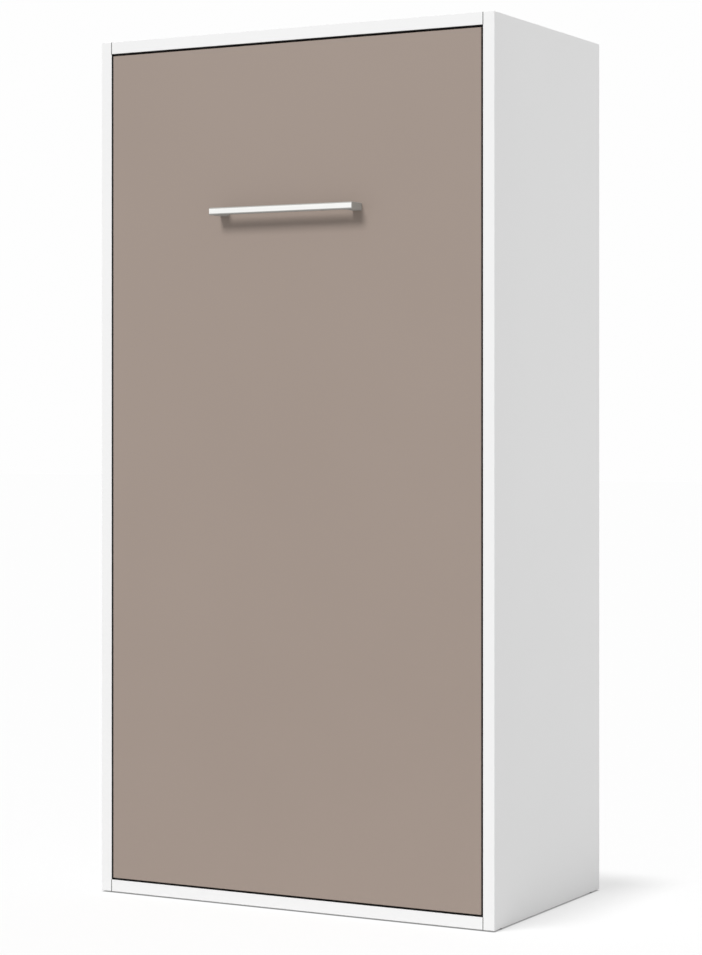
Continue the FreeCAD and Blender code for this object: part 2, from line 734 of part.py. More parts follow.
def draw_slat(sketch):
    """A slat's long side: two arcs about one centre, closed by a short line at each end."""
    half = SIZES["mattress_width"] / 2
    bow = FreeCAD.Vector(0, SIZES["slat_bow"], 0)
    thick = FreeCAD.Vector(0, SIZES["slat_thickness"], 0)
    left = FreeCAD.Vector(-half, 0, 0)
    right = FreeCAD.Vector(half, 0, 0)
    under = sketch.addGeometry(Part.Arc(left, bow, right))
    over = sketch.addGeometry(Part.Arc(left + thick, bow + thick, right + thick))
    ends = [sketch.addGeometry(Part.LineSegment(corner, corner + thick)) for corner in (left, right)]
    start, finish, centre = 1, 2, 3
    across, upright = -1, -2
    corners = ((under, over, ends[0], finish), (under, over, ends[1], start))
    for low, high, end, point in corners:
        sketch.addConstraint(Sketcher.Constraint("Coincident", low, point, end, start))
        sketch.addConstraint(Sketcher.Constraint("Coincident", high, point, end, finish))
        sketch.addConstraint(Sketcher.Constraint("Vertical", end))
        sketch.addConstraint(Sketcher.Constraint("PointOnObject", low, point, across))
    sketch.addConstraint(Sketcher.Constraint("Coincident", under, centre, over, centre))
    sketch.addConstraint(Sketcher.Constraint("PointOnObject", under, centre, upright))
    length = sketch.addConstraint(
        Sketcher.Constraint("DistanceX", under, finish, under, start, right.x - left.x))
    inside = sketch.addConstraint(Sketcher.Constraint("Radius", under, sketch.Geometry[under].Radius))
    outside = sketch.addConstraint(
        Sketcher.Constraint("Radius", over, sketch.Geometry[under].Radius + thick.y))
    curve = "(slat_half ^ 2 + slat_bow ^ 2) / (2 * slat_bow)"
    sketch.setExpression(f"Constraints[{length}]", rule("2 * slat_half"))
    sketch.setExpression(f"Constraints[{inside}]", rule(curve))
    sketch.setExpression(f"Constraints[{outside}]", rule(f"{curve} + slat_thickness"))


def make_slats():
    """Sprung beech slats, each an arc, in a row of plastic holders on each rail."""
    first = "frame_bottom + slat_end_inset - slat_width / 2"
    slats = new_body("slats", ("0", "slat_foot", first))
    plane = [part for part in slats.Origin.OriginFeatures if part.Role == "XY_Plane"][0]
    sketch = slats.newObject("Sketcher::SketchObject", "slat_outline")
    sketch.AttachmentSupport = (plane, [""])
    sketch.MapMode = "FlatFace"
    draw_slat(sketch)
    slat = slats.newObject("PartDesign::Pad", "slat")
    slat.Profile = sketch
    bind(slat, Length="slat_width")
    repeat_up(slats, [slat], "slat_run", "slat_count")

    room = "slat_thickness + 2 * slat_clear"
    for side in SIDES:
        holders = new_body(f"slat_holders_{side}")
        cap = block(holders, (outward(side, "rail_inner - holder_depth", "holder_depth"),
                              "slat_foot - slat_clear - holder_wall", f"{first} - slat_clear - holder_wall"),
                    ("holder_depth", f"{room} + 2 * holder_wall",
                     "slat_width + 2 * slat_clear + 2 * holder_wall"))
        slot = block(holders, (outward(side, "rail_inner - holder_depth", "holder_depth - holder_wall"),
                               "slat_foot - slat_clear", f"{first} - slat_clear"),
                     ("holder_depth - holder_wall", room, "slat_width + 2 * slat_clear"), cut=True)
        repeat_up(holders, [cap, slot], "slat_run", "slat_count")


def make_mattress():
    """The mattress as one soft block, and two elastic straps that keep it in the bed."""
    body = new_body("mattress")
    block(body, ("-mattress_width / 2", "mattress_back", "frame_bottom + rail_thickness + mattress_play"),
          ("mattress_width", "mattress_thickness", "mattress_length"))
    round_edges(body, "mattress_round", along="Y")
    places = {"lower": "frame_bottom + strap_end_inset",
              "upper": "frame_top - strap_end_inset - strap_width"}
    for name, z in places.items():
        strap = new_body(f"mattress_strap_{name}")
        block(strap, ("-strap_outer", "strap_face", z), ("2 * strap_outer", "strap_thickness", "strap_width"))
        for side in SIDES:
            block(strap, (outward(side, "strap_outer - strap_thickness", "strap_thickness"), "strap_low", z),
                  ("strap_thickness", "strap_face + strap_thickness - strap_low", "strap_width"))
            block(strap, (outward(side, "strap_outer", "rail_inner - strap_outer"), "strap_low", z),
                  ("rail_inner - strap_outer", "strap_anchor", "strap_width"))


def make_leg():
    """The folding leg, put away: two arms beside the rails, two posts, a cross bar, caps and feet."""
    caps = []
    feet = []
    for side in SIDES:
        x = outward(side, "leg_inner", "tube_width")
        hollow_x = outward(side, "leg_inner + tube_wall", "tube_width - 2 * tube_wall")
        arm = new_body(f"leg_arm_{side}")
        low = "post_z - tube_depth / 2"
        length = f"leg_z + leg_tail - ({low})"
        block(arm, (x, "leg_y - tube_depth / 2", low), ("tube_width", "tube_depth", length))
        bevel_edges(arm, "tube_bevel", along="Z")
        block(arm, (hollow_x, "leg_y - tube_depth / 2 + tube_wall", low),
              ("tube_width - 2 * tube_wall", "tube_depth - 2 * tube_wall", length), cut=True)
        flat_bar(arm, (x, "leg_y", "leg_z"), "leg_bore", "tube_width", "X", "ring_sides", cut=True)
        for end in (f"{low} - cap_thickness", "leg_z + leg_tail"):
            cap = doc.addObject("Part::Box", "leg_cap")
            bind(cap, Length="tube_width", Width="tube_depth", Height="cap_thickness")
            place(cap, (x, "leg_y - tube_depth / 2", end))
            caps.append(cap)

        post = new_body(f"leg_post_{side}")
        root = "leg_y + tube_depth / 2"
        length = f"leg_y + leg_stand - foot_height - ({root})"
        block(post, (x, root, low), ("tube_width", length, "tube_depth"))
        bevel_edges(post, "tube_bevel", along="Y")
        block(post, (hollow_x, root, f"{low} + tube_wall"),
              ("tube_width - 2 * tube_wall", length, "tube_depth - 2 * tube_wall"), cut=True)

        foot = doc.addObject("PartDesign::Body", "leg_foot")
        block(foot, (outward(side, "leg_inner - foot_overhang", "tube_width + 2 * foot_overhang"),
                     "leg_y + leg_stand - foot_height", f"{low} - foot_overhang"),
              ("tube_width + 2 * foot_overhang", "foot_height", "tube_depth + 2 * foot_overhang"))
        bevel_edges(foot, "foot_bevel", along="Y")
        feet.append(foot)

        bolt = new_body(f"leg_bolt_{side}")
        outer = "leg_inner + tube_width + end_play"
        shank = f"{outer} - rail_inner"
        flat_bar(bolt, (outward(side, "rail_inner", shank), "leg_y", "leg_z"),
                 "leg_bolt_radius", shank, "X", "ring_sides")
        collar = "leg_spacer - end_play"
        flat_bar(bolt, (outward(side, "rail_outer", collar), "leg_y", "leg_z"),
                 "leg_collar_radius", collar, "X", "ring_sides")
        for near, depth in (("rail_inner - leg_nut", "leg_nut"), (outer, "leg_bolt_head")):
            flat_bar(bolt, (outward(side, near, depth), "leg_y", "leg_z"),
                     "leg_bolt_head_radius", depth, "X", "hexagon_sides")
    bar = new_body("leg_cross_bar")
    bar_y = "leg_y + leg_stand - cross_bar_rise - tube_depth / 2"
    low = "post_z - tube_width / 2"
    block(bar, ("-leg_inner", bar_y, low), ("2 * leg_inner", "tube_depth", "tube_width"))
    bevel_edges(bar, "tube_bevel", along="X")
    block(bar, ("-leg_inner", f"{bar_y} + tube_wall", f"{low} + tube_wall"),
          ("2 * leg_inner", "tube_depth - 2 * tube_wall", "tube_width - 2 * tube_wall"), cut=True)
    group("leg_caps", caps)
    group("leg_feet", feet)


for side_name in SIDES:
    make_side_panel(side_name)
for level_name in LEVELS:
    make_level(level_name)
for panel_name in ("lower", "upper"):
    make_back_panel(panel_name)
for rail_name in REAR_RAILS:
    make_rear_rail(rail_name)
make_joint_hardware()
make_stops()
for side_name in SIDES:
    make_hinge(side_name)
make_screws()
for side_name in SIDES:
    make_gas_spring(side_name)
make_door()
make_handle()
make_bed_frame()
make_slats()
make_mattress()
make_leg()

doc.recompute()
for thing in doc.Objects:
    if "Invalid" in thing.State or "Error" in thing.State:
        raise RuntimeError(f"{thing.Label} failed: {thing.State}")
for made in sub_parts:
    if made.Shape.isNull() or not made.Shape.isValid():
        raise RuntimeError(f"{made.Label} has no sound shape")
os.makedirs("parts", exist_ok=True)
for made in sub_parts:
    made.Shape.exportStep(os.path.join("parts", made.Label + ".step"))
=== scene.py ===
"""Looks for a single bed that folds down out of a tall white cupboard.

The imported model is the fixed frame: metres, +Z up, the door and its handle face -Y.
Its nodes get their finishes here. The soft pieces and the small turned ones are made anew.
"""
from __future__ import annotations

import json
import logging
import math
from dataclasses import dataclass, field
from enum import Enum

import bmesh
import bpy
import numpy as np
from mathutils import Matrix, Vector


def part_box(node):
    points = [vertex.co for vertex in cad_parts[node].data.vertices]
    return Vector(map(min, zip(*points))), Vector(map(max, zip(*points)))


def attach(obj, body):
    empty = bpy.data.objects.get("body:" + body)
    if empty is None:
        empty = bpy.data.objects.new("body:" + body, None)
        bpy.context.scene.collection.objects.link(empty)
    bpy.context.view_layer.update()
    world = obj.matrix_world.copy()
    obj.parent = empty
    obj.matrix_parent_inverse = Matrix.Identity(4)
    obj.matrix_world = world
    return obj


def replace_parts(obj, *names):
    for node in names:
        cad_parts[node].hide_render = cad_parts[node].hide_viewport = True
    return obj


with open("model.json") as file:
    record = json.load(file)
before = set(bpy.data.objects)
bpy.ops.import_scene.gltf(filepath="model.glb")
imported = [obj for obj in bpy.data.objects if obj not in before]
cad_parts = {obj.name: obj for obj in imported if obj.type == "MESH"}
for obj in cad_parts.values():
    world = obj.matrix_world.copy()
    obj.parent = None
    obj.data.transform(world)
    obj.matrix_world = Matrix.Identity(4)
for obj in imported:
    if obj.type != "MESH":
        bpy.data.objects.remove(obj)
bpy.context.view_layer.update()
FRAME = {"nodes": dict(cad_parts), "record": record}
LOG = logging.getLogger("wall_bed")
MM = 0.001
MM_PER_METRE = 1000.0
WHITE = "#ffffff"
X_AXIS, Y_AXIS, Z_AXIS = np.eye(3)
# corners of a square with sides of 2, in order
SQUARE = np.array([[-1.0, -1.0], [1.0, -1.0], [1.0, 1.0], [-1.0, 1.0]])
# less than this, in metres or as a share, counts as nothing
TINY = 1e-6
# the two sides of the cupboard, and which way along X each of them faces the middle
SIDES = (("left", 1.0), ("right", -1.0))
STRAPS = ("mattress_strap_lower", "mattress_strap_upper")
# name of the attribute that lays a piece of cloth out flat, in metres along and across its threads
CLOTH = "cloth"
# sockets of the Mix node: its factor, the two colours it mixes and the mixed colour
FACTOR, COLOUR_A, COLOUR_B, COLOUR_OUT = 0, 6, 7, 2
# and the two plain numbers it mixes, with the mixed number
NUMBER_A, NUMBER_B, NUMBER_OUT = 2, 3, 0
# scale at which one band of the Wave node is one unit wide
WAVE_SCALE = math.pi / 10

# short names of types
Tree = bpy.types.NodeTree
Socket = bpy.types.NodeSocket
Piece = bpy.types.Object
Array = np.ndarray
Triple = tuple[float, float, float]
# names and values of inputs
Values = tuple[tuple[str, float], ...]
# radius and height of each row of a turned profile
Profile = tuple[tuple[float, float], ...]
# where a fitting stands, and which way it points
Place = tuple[Array, Array]


def linear(colour: str) -> tuple[float, float, float, float]:
    """Turn an sRGB hex colour into linear light: straight near black, then a power of 2.4.

    Args:
        colour: Six hex digits after a hash sign.

    Returns:
        Red, green, blue and a full alpha.
    """
    shares = [int(colour[start:start + 2], 16) / 255 for start in (1, 3, 5)]
    red, green, blue = [s / 12.92 if s <= 0.04045 else ((s + 0.055) / 1.055) ** 2.4 for s in shares]
    return red, green, blue, 1.0


def corners(node: str) -> Array:
    """Lowest and highest corner of a node of the frame, a row each."""
    return np.array(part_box(node))


def add(tree: Tree, kind: str, inputs: dict | None = None, **settings: object) -> bpy.types.Node:
    """Add a node to a tree.

    Args:
        tree: The node tree.
        kind: The node's type.
        inputs: Input name or number to a value, or to the output socket that feeds it.
        settings: Properties of the node.

    Returns:
        The new node.
    """
    node = tree.nodes.new(kind)
    for name, value in settings.items():
        setattr(node, name, value)
    for name, value in (inputs or {}).items():
        if isinstance(value, bpy.types.NodeSocket):
            tree.links.new(value, node.inputs[name])
        else:
            node.inputs[name].default_value = value
    return node


@dataclass(frozen=True)
class Surface:
    """A material in the making: its node tree, its shader and the object's own coordinates.

    The grains that it has so far are kept as specks, in order.
    """

    tree: Tree
    shader: bpy.types.Node
    place: Socket
    specks: list[Socket] = field(default_factory=list)

    def feed(self, name: str, source: Socket) -> None:
        """Let a node's output feed an input of the shader."""
        self.tree.links.new(source, self.shader.inputs[name])

    def fed(self, name: str) -> Socket:
        """The output that feeds an input of the shader so far."""
        return self.shader.inputs[name].links[0].from_socket

    def scaled(self, place: Socket, sizes_mm: Triple) -> Socket:
        """Coordinates in which a feature of those sizes along X, Y and Z is one unit across."""
        scale = tuple(MM_PER_METRE / size for size in sizes_mm)
        return add(self.tree, "ShaderNodeMapping", {"Vector": place, "Scale": scale}).outputs["Vector"]

    def paint(self, under: object, over: str, share: Socket) -> None:
        """Mix two colours into the colour of the surface.

        Args:
            under: The first colour in linear light, or the output that gives it.
            over: The second colour.
            share: How much of the second one shows, between 0 and 1.
        """
        mixed = add(self.tree, "ShaderNodeMix", {FACTOR: share, COLOUR_A: under, COLOUR_B: linear(over)},
                    data_type="RGBA")
        self.feed("Base Color", mixed.outputs[COLOUR_OUT])


class Trait(Enum):
    """What a grain gives a surface."""

    TONE = "tone"
    GLOSS = "gloss"
    RELIEF = "relief"


@dataclass(frozen=True)
class Grain:
    """Specks of a size along X, Y and Z, in millimetres, and what they give a surface."""

    sizes_mm: Triple
    detail: float
    gives: tuple[Trait, ...] = tuple(Trait)


@dataclass(frozen=True)
class Finish:
    """A plain finish; each kind below adds what its making leaves on the surface, and the faced metal adds
    painted shade too.

    A grain lets the colour run from the shade to the colour, lets the roughness vary to both
    sides by the spread, and raises the surface by a depth in millimetres, with some strength.
    The grains of a kind are fields of it.
    """

    name: str
    colour: str
    roughness: float
    shade: str = "#000000"
    gloss_spread: float = 0.05
    relief_mm: float = 0.05
    relief_strength: float = 0.15
    # further inputs of the shader that are the same all over
    held: Values = ()

    def material(self) -> bpy.types.Material:
        """Make the material: the shader's own values first, then the grains, then the rest.

        Returns:
            The new material.
        """
        made = bpy.data.materials.new(self.name)
        made.use_nodes = True
        tree = made.node_tree
        shader = tree.nodes["Principled BSDF"]
        surface = Surface(tree, shader, add(tree, "ShaderNodeTexCoord").outputs["Object"])
        for name, value in (("Base Color", linear(self.colour)), ("Roughness", self.roughness), *self.held):
            shader.inputs[name].default_value = value
        traits = {Trait.TONE: self.tones, Trait.GLOSS: self.gloss, Trait.RELIEF: self.relief}
        for grain in self.grains():
            vector = surface.scaled(surface.place, grain.sizes_mm)
            noise = add(tree, "ShaderNodeTexNoise", {"Vector": vector, "Scale": 1.0, "Detail": grain.detail})
            surface.specks.append(noise.outputs["Fac"])
            for trait in grain.gives:
                traits[trait](surface, noise.outputs["Fac"])
        self.pattern(surface)
        return made

    def grains(self) -> list[Grain]:
        """The fields that are grains, in order; a plain finish has none."""
        return [value for value in vars(self).values() if isinstance(value, Grain)]

    def pattern(self, surface: Surface) -> None:
        """Add what the grains can't give; a plain finish has nothing to add."""

    def tones(self, surface: Surface, share: Socket) -> None:
        """Let the colour run from the shade, at a share of 0, to the colour, at 1."""
        surface.paint(linear(self.shade), self.colour, share)

    def gloss(self, surface: Surface, share: Socket) -> None:
        """Let the roughness vary about its value, from smoothest at 0 to roughest at 1."""
        ranged = add(surface.tree, "ShaderNodeMapRange", {
            "Value": share, "To Min": self.roughness - self.gloss_spread,
            "To Max": self.roughness + self.gloss_spread})
        surface.feed("Roughness", ranged.outputs["Result"])

    def relief(self, surface: Surface, share: Socket) -> None:
        """Raise the surface, from nothing at 0 to the depth of the relief at 1."""
        bump = add(surface.tree, "ShaderNodeBump", {
            "Height": share, "Distance": self.relief_mm * MM, "Strength": self.relief_strength})
        surface.feed("Normal", bump.outputs["Normal"])


@dataclass(frozen=True)
class SmoothBoard(Finish):
    """Board with a pressed melamine or lacquered face: an even colour, a satin sheen, fine pearls.

    The cloud is hardly visible. The pearls are drawn coarser than real so that they show.
    """

    shade: str = "#f0f0f0"
    gloss_spread: float = 0.04
    relief_strength: float = 0.12
    held: Values = (("IOR", 1.5),)
    cloud: Grain = Grain((420.0,) * 3, detail=2.0, gives=(Trait.TONE, Trait.GLOSS))
    pearls: Grain = Grain((2.0,) * 3, detail=1.0, gives=(Trait.RELIEF,))


@dataclass(frozen=True)
class FacedMetal(Finish):
    """Aluminium whose face is brushed bright; edges, ends and posts get painted shade: a grey, rough and not
    metallic.

    Long fine lines spread the reflections of the face across it. They are drawn wider than real
    so that they show.
    """

    gloss_spread: float = 0.06
    relief_mm: float = 0.02
    relief_strength: float = 0.1
    lines: Grain = Grain((60.0, 0.35, 0.35), detail=3.0)
    # grey painted on the edges, ends and posts as shade
    painted_edge_shade: str = "#b0afab"
    matt_roughness: float = 0.55
    face_node: str = "handle_bar"
    face_depth_mm: tuple[float, float] = (0.02, 0.15)

    def pattern(self, surface: Surface) -> None:
        """Paint shade a short way behind the plane of the face: a grey takes over there, rough and not
        metallic.

        Args:
            surface: What is being finished.
        """
        front = corners(self.face_node)[0, 1]
        near, far = (front + depth * MM for depth in self.face_depth_mm)
        depth = add(surface.tree, "ShaderNodeSeparateXYZ", {"Vector": surface.place}).outputs["Y"]
        # painted shade: the share of grey, rising just behind the face plane
        behind = add(surface.tree, "ShaderNodeMapRange", {
            "Value": depth, "From Min": near, "From Max": far}).outputs["Result"]
        surface.paint(surface.fed("Base Color"), self.painted_edge_shade, behind)
        dull = add(surface.tree, "ShaderNodeMix", {
            FACTOR: behind, NUMBER_A: surface.fed("Roughness"), NUMBER_B: self.matt_roughness})
        surface.feed("Roughness", dull.outputs[NUMBER_OUT])
        bare = add(surface.tree, "ShaderNodeMath", {0: 1.0, 1: behind}, operation="SUBTRACT")
        surface.feed("Metallic", bare.outputs[0])


@dataclass(frozen=True)
class ZincPlate(Finish):
    """Zinc-plated sheet steel: dull grey with a faint mosaic of crystals and rolling lines."""

    shade: str = "#9b9ea2"
    gloss_spread: float = 0.1
    relief_mm: float = 0.03
    held: Values = (("Metallic", 1.0),)
    crystal_mm: float = 9.0
    lines: Grain = Grain((1.0, 1.0, 45.0), detail=2.0, gives=(Trait.GLOSS, Trait.RELIEF))

    def pattern(self, surface: Surface) -> None:
        """Draw the crystals in tone, each with a grey of its own."""
        crystals = add(surface.tree, "ShaderNodeTexVoronoi", {
            "Vector": surface.scaled(surface.place, (self.crystal_mm,) * 3), "Scale": 1.0})
        self.tones(surface, add(surface.tree, "ShaderNodeRGBToBW", {
            "Color": crystals.outputs["Color"]}).outputs["Val"])


@dataclass(frozen=True)
class GroundChrome(Finish):
    """Hard chrome on a ground rod: a clear mirror with the faintest lines round it."""

    gloss_spread: float = 0.04
    held: Values = (("Metallic", 1.0),)
    lines: Grain = Grain((30.0, 30.0, 0.8), detail=1.0, gives=(Trait.GLOSS,))


@dataclass(frozen=True)
class PowderCoat(Finish):
    """Powder paint baked on steel: a satin skin with the ripple of orange peel."""

    relief_mm: float = 0.06
    relief_strength: float = 0.2
    held: Values = (("Coat Weight", 0.2), ("Coat Roughness", 0.25))
    peel: Grain = Grain((2.2,) * 3, detail=1.5)


@dataclass(frozen=True)
class MouldedPart(Finish):
    """A moulded plastic or rubber part: the spark-eroded grain of its mould.

    The grain is drawn coarser than real so that it shows.
    """

    gloss_spread: float = 0.07
    relief_strength: float = 0.3
    held: Values = (("IOR", 1.5),)
    sparks: Grain = Grain((0.9,) * 3, detail=2.0)


@dataclass(frozen=True)
class BentBeech(Finish):
    """Glued beech veneers bent to a slat: pale bands along it, and short dark flecks pressed in."""

    shade: str = "#b98f62"
    gloss_spread: float = 0.06
    relief_mm: float = 0.06
    fleck: str = "#8f683f"
    bands: Grain = Grain((420.0, 9.0, 9.0), detail=4.0, gives=(Trait.TONE, Trait.GLOSS))
    flecks: Grain = Grain((7.0, 0.9, 0.9), detail=1.0, gives=(Trait.RELIEF,))
    fleck_from: float = 0.58
    fleck_full: float = 0.7

    def pattern(self, surface: Surface) -> None:
        """Draw the flecks over the bands, where the second grain's specks are strongest."""
        sparse = add(surface.tree, "ShaderNodeMapRange", {
            "Value": surface.specks[1], "From Min": self.fleck_from, "From Max": self.fleck_full})
        surface.paint(surface.fed("Base Color"), self.fleck, sparse.outputs["Result"])


@dataclass(frozen=True)
class WovenCloth(Finish):
    """Cloth with threads both ways, drawn coarser than real so that they show."""

    shade: str = "#d5d2ca"
    relief_mm: float = 0.4
    relief_strength: float = 0.5
    held: Values = (("Sheen Weight", 0.25), ("Sheen Roughness", 0.5))
    thread_mm: Triple = (1.9, 1.9, 1.9)

    def pattern(self, surface: Surface) -> None:
        """Threads as waves along and across, whose mean gives tone and relief.

        Args:
            surface: What is being finished.
        """
        tree = surface.tree
        laid_out = add(tree, "ShaderNodeAttribute", attribute_name=CLOTH).outputs["Vector"]
        threads = surface.scaled(laid_out, self.thread_mm)
        along, across = (add(tree, "ShaderNodeTexWave", {
            "Vector": threads, "Scale": WAVE_SCALE, "Distortion": 0.4, "Detail": 1.0},
            wave_type="BANDS", bands_direction=direction).outputs["Fac"] for direction in ("X", "Z"))
        both = add(tree, "ShaderNodeMath", {0: along, 1: across}, operation="ADD").outputs[0]
        mean = add(tree, "ShaderNodeMath", {0: both, 1: 2.0}, operation="DIVIDE").outputs[0]
        self.tones(surface, mean)
        self.relief(surface, mean)


# Every slot of the record and the finish that it gets.
FINISHES: dict[str, Finish] = {
    "white_board": SmoothBoard("white_melamine", "#f4f4f4", 0.42),
    "frame_board": SmoothBoard("frame_melamine", "#efefed", 0.45, shade="#ebebe9"),
    "back_board": SmoothBoard("painted_hardboard", "#ececea", 0.6, shade="#e6e6e3",
                              pearls=Grain((3.5,) * 3, detail=1.0, gives=(Trait.RELIEF,))),
    "taupe_door": SmoothBoard("taupe_lacquered_board", "#9d8e84", 0.5, shade="#998a80"),
    "handle_metal": FacedMetal("brushed_aluminium", "#f7f7f5", 0.3, shade="#e6e6e4"),
    "zinc_steel": ZincPlate("zinc_plated_steel", "#c2c5c9", 0.38),
    "spring_paint": PowderCoat("black_cylinder_paint", "#1c1c1e", 0.35, shade="#151517"),
    "spring_rod": GroundChrome("chromed_rod", "#d6d8db", 0.12),
    "leg_paint": PowderCoat("silver_powder_coat", "#a9abad", 0.42, shade="#9fa1a3"),
    "black_plastic": MouldedPart("black_polypropylene", "#222222", 0.5, shade="#1a1a1a"),
    "nylon": MouldedPart("natural_nylon", "#e0ddd3", 0.45, shade="#d6d3c8"),
    "rubber": MouldedPart("black_rubber", "#1d1d1d", 0.8, shade="#151515",
                          sparks=Grain((1.4,) * 3, detail=2.0)),
    "beech": BentBeech("bent_beech", "#d9b889", 0.5),
    "ticking": WovenCloth("mattress_ticking", "#eeece6", 0.85),
    "elastic_web": WovenCloth("elastic_webbing", "#47474b", 0.8, shade="#2f2f33",
                              held=(("Sheen Weight", 0.1), ("Sheen Roughness", 0.5)),
                              thread_mm=(3.8, 3.8, 1.5)),
}


class Finisher:
    """Makes each finish once and puts it on pieces and nodes."""

    def __init__(self) -> None:
        """Make every finish's material."""
        self.materials = {slot: finish.material() for slot, finish in FINISHES.items()}

    def dress_nodes(self) -> None:
        """Give every node of the frame the finish of its slot in the record."""
        for part in FRAME["record"]["subparts"]:
            node = FRAME["nodes"][part["node"]]
            node.data.materials.clear()
            node.data.materials.append(self.materials[part["material_slot"]])
            LOG.info("node %s wears %s", part["node"], part["material_slot"])

    def dress(self, piece: Piece, slot: str) -> None:
        """Put a slot's finish on a new piece."""
        piece.data.materials.append(self.materials[slot])


def joined(grids: list[Array]) -> Array:
    """The places of several grids in one list."""
    return np.concatenate([grid.reshape(-1, 3) for grid in grids])


def numbered(grids: list[Array]) -> list[Array]:
    """Vertex numbers of the places of several grids, which go on from one grid to the next.

    Args:
        grids: Rows and columns of places.

    Returns:
        Rows and columns of numbers for each grid.
    """
    ends = np.cumsum([grid.size // 3 for grid in grids])
    runs = np.split(np.arange(ends[-1]), ends[:-1])
    return [run.reshape(grid.shape[:2]) for run, grid in zip(runs, grids)]


def quads(index: Array, closed: bool = False) -> Array:
    """Faces between the rows and columns of a grid of vertex numbers.

    Args:
        index: Vertex numbers in rows and columns.
        closed: Whether the last column joins the first.

    Returns:
        Four vertex numbers a face.
    """
    if closed:
        index = np.hstack([index, index[:, :1]])
    around = (index[:-1, :-1], index[:-1, 1:], index[1:, 1:], index[1:, :-1])
    return np.stack([corner.ravel() for corner in around], axis=1)


def ring_quads(grids: list[Array]) -> Array:
    """Faces of grids that are closed both ways: the last row joins the first one, too."""
    return np.concatenate([quads(np.vstack([index, index[:1]]), closed=True) for index in numbered(grids)])


def new_piece(name: str, points: Array, faces: Array, crease_deg: float = 40.0,
              cloth: Array | None = None) -> Piece:
    """Put points and faces into a smooth mesh whose faces point outwards.

    Args:
        name: The piece's name.
        points: Places, three numbers each.
        faces: Four vertex numbers a face.
        crease_deg: Edges sharper than this stay sharp.
        cloth: Where each point is on the cloth laid out flat, three numbers each.

    Returns:
        The new object, linked to the scene.
    """
    mesh = bpy.data.meshes.new(name)
    mesh.from_pydata(points.reshape(-1, 3).tolist(), [], faces.tolist())
    if cloth is not None:
        laid_out = mesh.attributes.new(CLOTH, "FLOAT_VECTOR", "POINT")
        laid_out.data.foreach_set("vector", np.ascontiguousarray(cloth, np.float32).ravel())
    shape = bmesh.new()
    shape.from_mesh(mesh)
    bmesh.ops.remove_doubles(shape, verts=shape.verts, dist=TINY)
    bmesh.ops.recalc_face_normals(shape, faces=shape.faces)
    shape.to_mesh(mesh)
    shape.free()
    mesh.shade_smooth()
    mesh.set_sharp_from_angle(angle=math.radians(crease_deg))
    piece = bpy.data.objects.new(name, mesh)
    bpy.context.scene.collection.objects.link(piece)
    LOG.info("piece %s has %d faces", name, len(mesh.polygons))
    return piece


def run_length(path: Array) -> Array:
    """How far each point of a path is from its start, along the path."""
    steps = np.linalg.norm(np.diff(path, axis=0, prepend=path[:1]), axis=1)
    return np.cumsum(steps)


def lay_out(along: Array, across: Array) -> Array:
    """Cloth coordinates of a band: lengths along it in rows, widths across it in columns."""
    lengths, widths = np.meshgrid(along, across, indexing="ij")
    return np.stack([lengths, np.zeros_like(lengths), widths], axis=-1)


def smooth(share: Array) -> Array:
    """Run from 0 to 1 with level ends: three times the square less twice the cube."""
    held = np.clip(share, 0.0, 1.0)
    return held * held * (3.0 - 2.0 * held)


